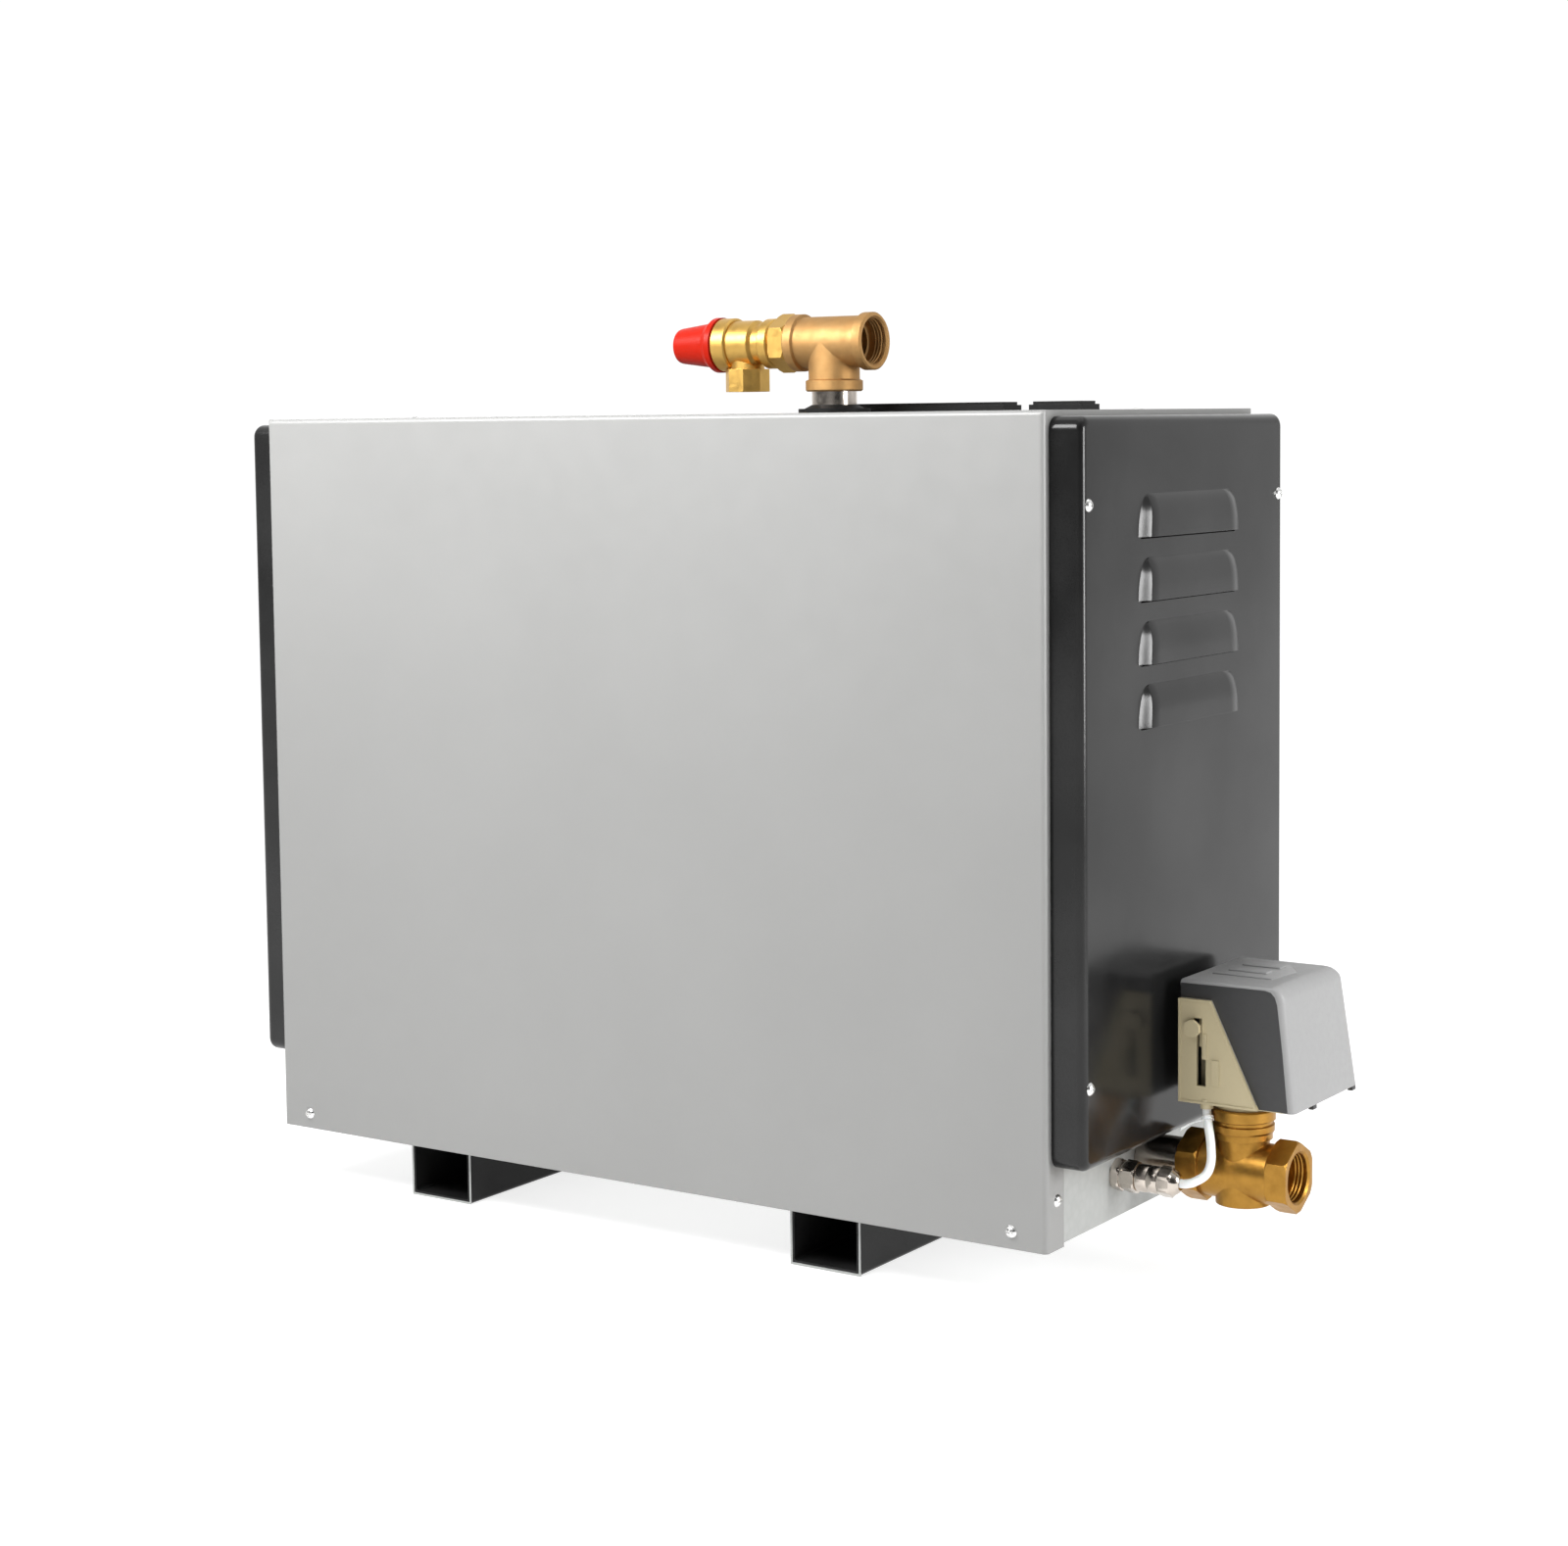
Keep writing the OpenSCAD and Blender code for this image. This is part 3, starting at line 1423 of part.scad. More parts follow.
module actuator_shell(inset, drop) {
    r = act_r - inset;
    x0 = act_x0 + inset + r;
    x1 = act_x1 - inset - r;
    y0 = act_y0 + inset + r;
    y1 = act_y1 - inset - r;
    z = act_top - inset - r;
    lean = act_lean * (act_h - r) / act_h;
    hull() {
        for (x = [x0, x1], y = [y0, y1])
            translate([x, y, act_z - drop]) cylinder(h = cut, r = r, $fn = 32);
        for (x = [x0 + 1, x1 - lean], y = [y0, y1 - lean])
            translate([x, y, z]) sphere(r, $fn = 32);
    }
}

module actuator_cover() {
    color([0.72, 0.72, 0.72]) place() difference() {
        actuator_shell(0, 0);
        actuator_shell(act_wall, cut);
        translate([0, -2 * cut, 0]) on_face(act_r + 2 * cut) face_outline(0);
        box([act_x0 - cut, act_y0 - cut, act_z - cut],
            [act_x0 + act_r, act_y0 + face_t, act_z + act_h - rim]);
    }
}

module actuator_motor() {
    y = valve_y + motor_off;
    z = act_z + base_t + motor_r + clear;
    color([0.7, 0.7, 0.7]) place() {
        difference() {
            box([gearbox_x, valve_y - shaft_r * 3, act_z + base_t],
                [gearbox_x + gearbox_w, valve_y - shaft_r * 3 + gearbox_l, act_z + base_t + gearbox_h]);
            to_right([gearbox_x - cut, valve_y, cam_z]) cylinder(h = gearbox_w / 2, r = shaft_r + fit);
        }
        to_left([gearbox_x, y, z]) cylinder(h = motor_len, r = motor_r);
    }
}

// Cam shaft: pinion on the lever's rack, cam on the stem

function involute(base, a) = [base * (cos(a) + a * PI / 180 * sin(a)),
    base * (sin(a) - a * PI / 180 * cos(a))];
function turned(p, a) = [p[0] * cos(a) - p[1] * sin(a), p[0] * sin(a) + p[1] * cos(a)];

module pinion() {
    pressure = 20;
    base = pinion_r * cos(pressure);
    root = pinion_r - 1.25 * tooth;
    tip = pinion_r + tooth;
    tip_a = sqrt(pow(tip / base, 2) - 1) * 180 / PI;
    pitch_a = sqrt(pow(pinion_r / base, 2) - 1) * 180 / PI;
    pitch_dir = atan2(involute(base, pitch_a)[1], involute(base, pitch_a)[0]);
    half = 90 / pinion_teeth - backlash / pinion_r * 90 / PI;
    flank = [for (i = [0 : 4]) turned(involute(base, tip_a * i / 4), -pitch_dir - half)];
    back = [for (i = [4 : -1 : 0]) [flank[i][0], -flank[i][1]]];
    root_dir = atan2(flank[0][1], flank[0][0]);
    one = concat([[root * cos(root_dir), root * sin(root_dir)]], flank, back,
        [[root * cos(root_dir), -root * sin(root_dir)]]);
    polygon([for (k = [0 : pinion_teeth - 1]) for (p = one) turned(p, 360 * k / pinion_teeth)]);
}

module cam_outline() {
    // the flat stem head sinks evenly over the lever's turn; then the cam falls back
    n = 20;
    grow = stem_travel * pinion_r / lever_travel;
    rise = [for (i = [0 : n]) let (a = cam_turn * i / n, h = cam_low + stem_travel * i / n)
        [h * cos(a) - grow * sin(a), h * sin(a) + grow * cos(a)]];
    fall = [for (i = [1 : n]) let (s = i / n, a = cam_turn + (360 - cam_turn) * s,
        r = (cam_low + stem_travel) * (1 - s) + (cam_low - clear / 2) * s) [r * cos(a), r * sin(a)]];
    hull() polygon(concat(rise, fall));
}

module actuator_camshaft() {
    start = pinion_x - pinion_w / 2 - bracket_t;
    end = gearbox_x + gearbox_w / 4;
    color([0.9, 0.88, 0.82]) place() translate([0, valve_y, cam_z]) {
        to_right([start, 0, 0]) cylinder(h = end - start, r = shaft_r);
        // the cam's low point faces down at rest, and its radius grows as the shaft turns about +X
        translate([valve_x - cam_w / 2, 0, 0]) rotate([90, 0, 90]) linear_extrude(cam_w)
            rotate(-90) mirror([0, 1]) cam_outline();
        translate([pinion_x - pinion_w / 2, 0, 0]) rotate([90, 0, 90]) linear_extrude(pinion_w)
            rotate(180 / pinion_teeth) pinion();
    }
}

module rack_profile(length) {
    // teeth toward +x, bar behind them, running up +y; a tooth is centred on y = 0
    slope = tan(20);
    half = rack_pitch / 4 - backlash / 4;
    n = floor(length / rack_pitch);
    translate([-1.25 * tooth - 2, -rack_pitch / 2]) square([2.05, length]);
    for (i = [0 : n - 1])
        translate([0, i * rack_pitch]) polygon([[-1.25 * tooth, -half - 1.25 * tooth * slope],
            [tooth * 0.9, -half + 0.9 * tooth * slope], [tooth * 0.9, half - 0.9 * tooth * slope],
            [-1.25 * tooth, half + 1.25 * tooth * slope]]);
}

module hand_lever() {
    bar_y = valve_y - pinion_r - 1.25 * tooth - 2;
    rack_len = lever_travel + 1.5 * rack_pitch;
    color([0.78, 0.74, 0.6]) place() {
        translate([lever_x - pinion_w / 2 + clear, valve_y - pinion_r, cam_z]) rotate([90, 0, 90])
            linear_extrude(pinion_w - 2 * clear) rack_profile(rack_len);
        box([lever_x - lever_w / 2, act_y0 - knob_back - knob_t, lever_z - lever_w],
            [lever_x + lever_w / 2, bar_y + 0.5, lever_z + lever_w]);
        to_front([lever_x - knob_off, act_y0 - knob_back, lever_z]) cylinder(h = knob_t, r = knob_r);
        box([lever_x - knob_off, act_y0 - knob_back - knob_t, lever_z - lever_w / 2],
            [lever_x, act_y0 - knob_back, lever_z + lever_w / 2]);
    }
}

// Cable gland and lead

module cable_gland() {
    r = gland_r - 1;
    color([0.75, 0.74, 0.72]) place() to_right([side_x - sheet_t, gland_y, gland_z]) difference() {
        union() {
            translate([0, 0, -4 * sheet_t]) cylinder(h = 5 * sheet_t, r = r);
            chamfered_hex(gland_af, gland_hex_len + sheet_t, 1);
            translate([0, 0, gland_hex_len]) cylinder(h = gland_seal_len + 1.5 * sheet_t, r = gland_r);
            translate([0, 0, gland_hex_len + gland_seal_len + sheet_t])
                chamfered_hex(gland_af - 1, gland_nut_len, 1.5);
            translate([0, 0, -3 * sheet_t]) hexagon(gland_af, 2 * sheet_t);
        }
        translate([0, 0, -5 * sheet_t]) cylinder(h = 2 * (gland_hex_len + gland_seal_len + gland_nut_len),
            r = lead_r + fit);
    }
}

lead_exit = [valve_x - 17, valve_y - 16];
lead_gland = [side_x + gland_hex_len + gland_seal_len + gland_nut_len, gland_y, gland_z];
lead_wall = [partition_x, 30, 62];
// Route of the lead, from the actuator to the terminal block, chosen by hand
lead_route = [[358, 114, 116], [358, 114, 108], [361, 110, 100], [365, 105, 90], [367, 101, 80],
    [365.5, 97, 73], [360, 92.8, 68.8], [356, 91.4, 67.4], [353, 91, 67], [351, 91, 67], [340, 91, 67],
    [312, 91, 67], [303, 91, 67], [300, 91, 67], [297, 91, 67], [290, 89, 66.6], [280, 80, 65.5],
    [255, 46, 63], [225, 30, 62], [150, 30, 62], [60, 30, 62], [0, 30, 62], [-35, 30, 62], [-60, 30, 62],
    [-95, 40, 64], [-130, 80, 66], [-165, 140, 68], [-190, 190, 72], [-200, 220, 82], [-199, 230, 98]];

function spline_point(a, b, c, d, t) =
    0.5 * (2 * b + (c - a) * t + (2 * a - 5 * b + 4 * c - d) * pow(t,
        2) + (3 * b - a - 3 * c + d) * pow(t, 3));
function clamp_at(list, i) = list[max(0, min(len(list) - 1, i))];
function spline_path(route, steps) = concat([for (i = [0 : len(route) - 2]) let (
    span = norm(route[i + 1] - route[i]),
    n = max(1, min(steps, ceil(span / (5 * lead_r)))))
    for (k = [0 : n - 1]) spline_point(clamp_at(route, i - 1), route[i], route[i + 1],
        clamp_at(route, i + 2), k / n)],
    [route[len(route) - 1]]);
function unit(v) = v / norm(v);
function tangent(path, i) = unit(clamp_at(path, i + 1) - clamp_at(path, i - 1));
function side_vectors(path, i = 0, out = []) = i == len(path) ? out :
    let (t = tangent(path, i), seed = i == 0 ? [1, 0, 0] : out[i - 1], side = unit(seed - (seed * t) * t))
    side_vectors(path, i + 1, concat(out, [side]));

module actuator_lead() {
    path = spline_path(lead_route, lead_steps);
    sides = side_vectors(path);
    rings = [for (i = [0 : len(path) - 1]) let (t = tangent(path, i), u = sides[i], v = cross(t, u))
        [for (k = [0 : lead_sides - 1]) let (a = 360 * k / lead_sides)
            path[i] + lead_r * (cos(a) * u + sin(a) * v)]];
    color([0.9, 0.9, 0.88]) place() sweep_rings([for (r = rings) [for (k = [lead_sides - 1 : -1 : 0])
        r[k]]], lead_sides);
}

// Water feed

module water_inlet() {
    face = casing_d;
    color([0.8, 0.62, 0.3]) place() to_back([inlet_x, face, inlet_z]) difference() {
        union() {
            chamfered_hex(inlet_af, inlet_collar, 0.8);
            translate([0, 0, inlet_collar]) cylinder(h = inlet_len, r = inlet_r);
            translate([0, 0, -inlet_gap - 2 * sheet_t - 8])
                cylinder(h = inlet_gap + 2 * sheet_t + 8, r = inlet_r);
        }
        translate([0, 0, -inlet_gap - 2 * sheet_t - 8 - cut])
            cylinder(h = inlet_gap + inlet_len + inlet_collar + 16 + cut, r = inlet_r - 3);
    }
}

inlet_body_y = casing_d - 2 * sheet_t - inlet_gap - inlet_body_l;

module inlet_valve_body() {
    r = inlet_body_w / 2;
    tube_r = plunger_r + fit + 1;
    mid = inlet_body_l / 2;
    nose = plunger_r + 1.5;
    color([0.8, 0.62, 0.3]) place() translate([inlet_x, inlet_body_y, inlet_z]) difference() {
        union() {
            to_back([0, 0, 0]) chamfered_hex(inlet_body_w, inlet_body_l, 1);
            translate([0, mid, 0]) cylinder(h = r + 2, r = r * 0.8);
            translate([0, mid, 0]) cylinder(h = r + 4 + coil_h, r = tube_r);
        }
        to_back([0, inlet_body_l - 9, 0]) cylinder(h = 9 + cut, r = inlet_r + fit);
        to_back([0, mid + nose, 0]) cylinder(h = mid, r = inlet_r - 4);
        to_back([0, -cut, 0]) cylinder(h = 9 + cut, r = feed_r + fit);
        to_back([0, 0, 0]) cylinder(h = mid - nose, r = inlet_r - 4);
        to_back([0, cut, 0]) cylinder(h = inlet_body_l - 2 * cut, r = orifice_r);
        translate([0, mid, -orifice_r - fit]) cylinder(h = r + 2 + coil_h, r = plunger_r + fit);
    }
}

module inlet_coil() {
    color([0.1, 0.1, 0.1]) place() translate([inlet_x, inlet_body_y + inlet_body_l / 2,
        inlet_z + inlet_body_w / 2 + 2])
        difference() {
            union() {
                linear_extrude(coil_h) rounded_rect(coil_w, coil_w, 4);
                box([coil_w / 2 - cut, -coil_w / 3, coil_h / 6], [coil_w, coil_w / 3, coil_h * 5 / 6]);
            }
            translate([0, 0, -cut]) cylinder(h = coil_h + 2 * cut, r = plunger_r + 2 * fit + 1);
        }
}

module inlet_plunger() {
    color([0.8, 0.8, 0.8]) place() translate([inlet_x, inlet_body_y + inlet_body_l / 2,
        inlet_z - orifice_r])
        cylinder(h = plunger_h + inlet_body_w / 2, r = plunger_r);
}

module feed_pipe() {
    bend_y = feed_y + feed_bend;
    color([0.75, 0.75, 0.75]) place() translate([inlet_x, bend_y, inlet_z + feed_bend]) rotate([0, 0, 90])
        pipe_with_elbow(feed_r, feed_bend, tank_z + tank_wall - inlet_z - feed_bend,
            inlet_body_y + 8 - bend_y);
}

module mains_gland() {
    color([0.12, 0.12, 0.12]) place() to_back([mains_x, casing_d, mains_z]) difference() {
        union() {
            translate([0, 0, -2 * sheet_t]) cylinder(h = 3 * sheet_t, r = mains_bore + 3 - fit);
            translate([0, 0, -4 * sheet_t - 2]) cylinder(h = 3 * sheet_t, r = mains_bore + 3 - fit);
            translate([0, 0, -2 * sheet_t - 5]) hexagon(mains_af, 5);
            chamfered_hex(mains_af, mains_hex_len, 1);
            translate([0, 0, mains_hex_len]) rotate_extrude() polygon([[0, 0], [mains_bore + 6, 0],
                [mains_bore + 6, mains_dome_len / 2], [mains_bore + 3, mains_dome_len],
                    [0, mains_dome_len]]);
        }
        translate([0, 0, -mains_dome_len]) cylinder(h = 4 * mains_dome_len, r = mains_bore);
    }
}

foot_left();
foot_right();
base_tray();
foot_bolts();
corner_frame();
front_panel();
back_panel();
top_panel();
left_side_cover();
right_side_cover();
side_cover_screws();
panel_screws();
long_top_cover();
short_top_cover();
partition();
component_plate();
mounting_rails();
contactors();
terminal_block();
control_board();
tank();
tank_stand();
lid_gasket();
tank_lid();
lid_bolts();
element_flange();
element_bolts();
heating_elements();
element_terminals();
level_probe();
thermostat();
steam_nipple();
top_seal();
outlet_tee();
safety_adapter();
safety_body();
safety_bonnet();
safety_spring();
safety_spindle();
safety_cap();
drain_pipe();
drain_nipple();
drain_valve_body();
drain_valve_bonnet();
drain_stem();
stem_spring();
actuator_base();
actuator_end_panel();
actuator_cover();
actuator_motor();
actuator_camshaft();
hand_lever();
cable_gland();
actuator_lead();
water_inlet();
inlet_valve_body();
inlet_coil();
inlet_plunger();
feed_pipe();
mains_gland();
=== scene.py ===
"""Looks of the steam generator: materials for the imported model, its fine detail, light and camera."""

import json
import math
from contextlib import contextmanager

import bmesh
import bpy
from mathutils import Matrix, Vector
from mathutils.geometry import tessellate_polygon


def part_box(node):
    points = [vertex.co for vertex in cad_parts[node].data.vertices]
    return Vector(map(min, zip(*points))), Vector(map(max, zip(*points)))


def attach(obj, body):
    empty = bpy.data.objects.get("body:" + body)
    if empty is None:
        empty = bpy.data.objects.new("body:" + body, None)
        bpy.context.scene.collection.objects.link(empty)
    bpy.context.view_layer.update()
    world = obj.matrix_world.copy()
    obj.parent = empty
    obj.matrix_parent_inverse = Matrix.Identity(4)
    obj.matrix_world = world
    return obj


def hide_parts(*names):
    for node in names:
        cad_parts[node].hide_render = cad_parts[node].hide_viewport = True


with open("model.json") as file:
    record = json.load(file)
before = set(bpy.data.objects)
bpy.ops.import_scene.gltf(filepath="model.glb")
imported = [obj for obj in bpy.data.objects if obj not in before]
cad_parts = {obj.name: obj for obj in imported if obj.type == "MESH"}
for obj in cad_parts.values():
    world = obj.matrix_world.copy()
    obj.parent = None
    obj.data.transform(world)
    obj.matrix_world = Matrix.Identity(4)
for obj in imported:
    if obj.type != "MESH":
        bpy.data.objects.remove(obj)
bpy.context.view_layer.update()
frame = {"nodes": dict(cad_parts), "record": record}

MM = 0.001
CASING = "casing"


# Places: x from the casing's middle, y from the front panel's face, z from the floor, all in mm

panel_low, panel_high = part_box("front_panel")
MIDDLE_X = (panel_low[0] + panel_high[0]) / 2
FRONT_Y = panel_low[1]
PANEL_LOW = panel_low[2] / MM
HALF_WIDTH = (panel_high[0] - panel_low[0]) / 2 / MM


def at(x, y, z):
    return Vector((MIDDLE_X + x * MM, FRONT_Y + y * MM, z * MM))


def node_box(name):
    """A CAD node's corners, in the millimetres that at() takes."""
    low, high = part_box(name)
    shift = Vector((MIDDLE_X, FRONT_Y, 0))
    return (Vector(low) - shift) / MM, (Vector(high) - shift) / MM


# Camera, from a fit to the photograph

PHOTO_W = 1600
PHOTO_FOCAL_PX = 2954.18
PHOTO_AXIS_UP_PX = 120.6
SENSOR = 36.0
CAMERA_PLACE = (1128.43, -1477.73, 495.83)
CAMERA_AZIMUTH = 34.17
CAMERA_ELEVATION = 4.64
CAMERA_ROLL = -0.65


def make_camera():
    data = bpy.data.cameras.new("camera")
    data.sensor_width = SENSOR
    data.lens = PHOTO_FOCAL_PX * SENSOR / PHOTO_W
    data.shift_y = -PHOTO_AXIS_UP_PX / PHOTO_W
    camera = bpy.data.objects.new("camera", data)
    bpy.context.collection.objects.link(camera)
    x, y, z = CAMERA_PLACE
    camera.location = at(x, y, z + PANEL_LOW)
    a = math.radians(CAMERA_AZIMUTH)
    e = math.radians(CAMERA_ELEVATION)
    r = math.radians(CAMERA_ROLL)
    back = Vector((math.sin(a) * math.cos(e), -math.cos(a) * math.cos(e), math.sin(e)))
    right = (-back).cross(Vector((0, 0, 1))).normalized()
    up = right.cross(-back)
    rolled_right = right * math.cos(r) + up * math.sin(r)
    rolled_up = up * math.cos(r) - right * math.sin(r)
    camera.rotation_mode = "QUATERNION"
    turn = Matrix((rolled_right, rolled_up, back)).transposed()
    camera.rotation_quaternion = turn.to_quaternion()
    bpy.context.scene.camera = camera


# Shader helpers

BAND_WOBBLE = 0.3
BAND_DETAIL = 2.0
BEVEL_SAMPLES = 4


def add_node(tree, kind, **values):
    made = tree.nodes.new(kind)
    for key, value in values.items():
        setattr(made, key, value)
    return made


class Shader:
    """A material with one Principled shader, and short calls for the nodes that feed it."""

    def __init__(self, name, colour, roughness, metallic=0.0, **sockets):
        self.material = bpy.data.materials.new(name)
        self.material.use_nodes = True
        self.tree = self.material.node_tree
        self.bsdf = self.tree.nodes["Principled BSDF"]
        self.colour = (*colour, 1.0)
        self.roughness = roughness
        self.bsdf.inputs["Base Color"].default_value = self.colour
        self.bsdf.inputs["Roughness"].default_value = roughness
        self.bsdf.inputs["Metallic"].default_value = metallic
        for socket, value in sockets.items():
            self.bsdf.inputs[socket.replace("_", " ")].default_value = value
        self.coords = self.node("ShaderNodeTexCoord").outputs["Object"]

    def node(self, kind, **values):
        return add_node(self.tree, kind, **values)

    def link(self, out, into):
        self.tree.links.new(out, into)

    def stretched(self, scale):
        mapping = self.node("ShaderNodeMapping")
        mapping.inputs["Scale"].default_value = scale
        self.link(self.coords, mapping.inputs["Vector"])
        return mapping.outputs["Vector"]

    def noise(self, scale, detail=3.0, roughness=0.5, coords=None, distortion=0.0):
        made = self.node("ShaderNodeTexNoise")
        made.inputs["Scale"].default_value = scale
        made.inputs["Detail"].default_value = detail
        made.inputs["Roughness"].default_value = roughness
        made.inputs["Distortion"].default_value = distortion
        self.link(coords or self.coords, made.inputs["Vector"])
        return made.outputs["Fac"]

    def cells(self, scale, output="Distance"):
        made = self.node("ShaderNodeTexVoronoi")
        made.inputs["Scale"].default_value = scale
        self.link(self.coords, made.inputs["Vector"])
        return made.outputs[output]

    def bands(self, scale, direction="X"):
        made = self.node("ShaderNodeTexWave", bands_direction=direction)
        made.inputs["Scale"].default_value = scale
        made.inputs["Distortion"].default_value = BAND_WOBBLE
        made.inputs["Detail"].default_value = BAND_DETAIL
        self.link(self.coords, made.inputs["Vector"])
        return made.outputs["Fac"]

    def ranged(self, fac, low, high, from_low=0.3, from_high=0.7):
        made = self.node("ShaderNodeMapRange")
        made.inputs["From Min"].default_value = from_low
        made.inputs["From Max"].default_value = from_high
        made.inputs["To Min"].default_value = low
        made.inputs["To Max"].default_value = high
        self.link(fac, made.inputs["Value"])
        return made.outputs["Result"]

    def sum(self, a, b, share_of_b=1.0):
        made = self.node("ShaderNodeMath", operation="MULTIPLY_ADD")
        self.link(b, made.inputs[0])
        made.inputs[1].default_value = share_of_b
        self.link(a, made.inputs[2])
        return made.outputs["Value"]

    def tint(self, fac, other):
        """Blends the base colour into another one where fac is high."""
        made = self.node("ShaderNodeMix", data_type="RGBA")
        self.link(fac, made.inputs["Factor"])
        before = self.bsdf.inputs["Base Color"]
        if before.is_linked:
            self.link(before.links[0].from_socket, made.inputs["A"])
        else:
            made.inputs["A"].default_value = self.colour
        made.inputs["B"].default_value = (*other, 1.0)
        self.link(made.outputs["Result"], before)

    def rough(self, fac, spread):
        out = self.ranged(fac, self.roughness - spread, self.roughness + spread)
        self.link(out, self.bsdf.inputs["Roughness"])

    def relief(self, height, depth_mm, strength=1.0, edge_mm=0.0):
        """Bump of the given depth over edges that are rounded by edge_mm."""
        bump = self.node("ShaderNodeBump")
        bump.inputs["Strength"].default_value = strength
        bump.inputs["Distance"].default_value = depth_mm * MM
        self.link(height, bump.inputs["Height"])
        if edge_mm:
            bevel = self.node("ShaderNodeBevel", samples=BEVEL_SAMPLES)
            bevel.inputs["Radius"].default_value = edge_mm * MM
            self.link(bevel.outputs["Normal"], bump.inputs["Normal"])
        self.link(bump.outputs["Normal"], self.bsdf.inputs["Normal"])


# Materials, one function for each family. Scales are in cycles over a metre, and reliefs and edges in mm.

def toned(colour, share):
    return tuple(min(1.0, c * share) for c in colour)


def painted_metal(name, colour, roughness, peel_mm=0.02, mottle=0.04, metallic=0.0, edge_mm=0.5, **sockets):
    s = Shader(name, colour, roughness, metallic=metallic, **sockets)
    lighter = tuple(min(1.0, c * (1 + mottle) + mottle * 0.1) for c in colour)
    s.tint(s.ranged(s.noise(9, detail=3), 0, 1), lighter)
    fleck = s.ranged(s.noise(2600, detail=2), 0, 0.7, from_low=0.52, from_high=0.75)
    s.tint(fleck, toned(colour, 1 - mottle * 2))
    s.rough(s.noise(60, detail=4), spread=0.035)
    peel = s.sum(s.noise(650, detail=2), s.noise(2200, detail=2), share_of_b=0.4)
    s.relief(peel, peel_mm, strength=0.55, edge_mm=edge_mm)
    return s.material


def cast_brass(name, colour, roughness, grain_mm, tarnish, tarnish_share):
    s = Shader(name, colour, roughness, metallic=1.0)
    patches = s.noise(55, detail=5, roughness=0.6, distortion=0.4)
    s.tint(s.ranged(patches, 0, tarnish_share, from_low=0.45, from_high=0.75), tarnish)
    pale = s.ranged(s.noise(170, detail=3), 0, 0.5, from_low=0.45, from_high=0.7)
    s.tint(pale, toned(colour, 1.16))
    s.rough(s.noise(120, detail=4), spread=0.09)
    sand = s.sum(s.noise(900, detail=3, roughness=0.6), s.cells(1500), share_of_b=0.35)
    s.relief(sand, grain_mm, strength=0.7, edge_mm=0.5)
    return s.material


def turned_brass(name, colour, roughness):
    s = Shader(name, colour, roughness, metallic=1.0)
    s.tint(s.ranged(s.noise(80, detail=4), 0, 0.4, from_low=0.4, from_high=0.7), toned(colour, 0.72))
    s.rough(s.noise(240, detail=3), spread=0.06)
    tool_marks = s.sum(s.bands(900), s.noise(1400, detail=2), share_of_b=0.8)
    s.relief(tool_marks, depth_mm=0.012, strength=0.6, edge_mm=0.35)
    return s.material


def bright_metal(name, colour, roughness, stain=0.75, direction=None):
    s = Shader(name, colour, roughness, metallic=1.0)
    s.tint(s.ranged(s.noise(130, detail=4), 0, 0.5, from_low=0.45, from_high=0.75), toned(colour, stain))
    s.rough(s.noise(300, detail=3), spread=0.06)
    marks = s.bands(1100, direction) if direction else s.noise(1700, detail=2)
    s.relief(marks, depth_mm=0.012, strength=0.5, edge_mm=0.25)
    return s.material


def brushed_metal(name, colour, roughness):
    s = Shader(name, colour, roughness, metallic=1.0)
    grain = s.noise(1, detail=4, roughness=0.6, coords=s.stretched((40, 1400, 1400)))
    s.tint(s.ranged(grain, 0, 0.6), toned(colour, 0.82))
    s.rough(grain, spread=0.08)
    s.relief(grain, depth_mm=0.015, strength=0.6, edge_mm=0.3)
    return s.material


def galvanised(name, colour, roughness):
    s = Shader(name, colour, roughness, metallic=0.35)
    spangle_scale = 190
    spangle = s.cells(spangle_scale, output="Color")
    s.tint(s.ranged(spangle, 0, 0.35, from_low=0.2, from_high=0.8), toned(colour, 0.86))
    s.tint(s.ranged(s.noise(14, detail=3), 0, 0.3), toned(colour, 1.06))
    s.rough(s.cells(spangle_scale), spread=0.07)
    s.relief(s.noise(900, detail=3), depth_mm=0.012, strength=0.5, edge_mm=0.3)
    return s.material


def moulded(name, colour, roughness, grain=1500, grain_mm=0.02, spread=0.05, edge_mm=0.4, **sockets):
    s = Shader(name, colour, roughness, **sockets)
    s.tint(s.ranged(s.noise(25, detail=3), 0, 0.5), toned(colour, 1 + spread))
    fine = s.ranged(s.noise(400, detail=2), 0, 0.35, from_low=0.5, from_high=0.75)
    s.tint(fine, toned(colour, 1 - spread))
    s.rough(s.noise(200, detail=3), spread=0.05)
    texture = s.sum(s.noise(grain, detail=2), s.cells(grain * 0.7), share_of_b=0.5)
    s.relief(texture, grain_mm, strength=0.6, edge_mm=edge_mm)
    return s.material


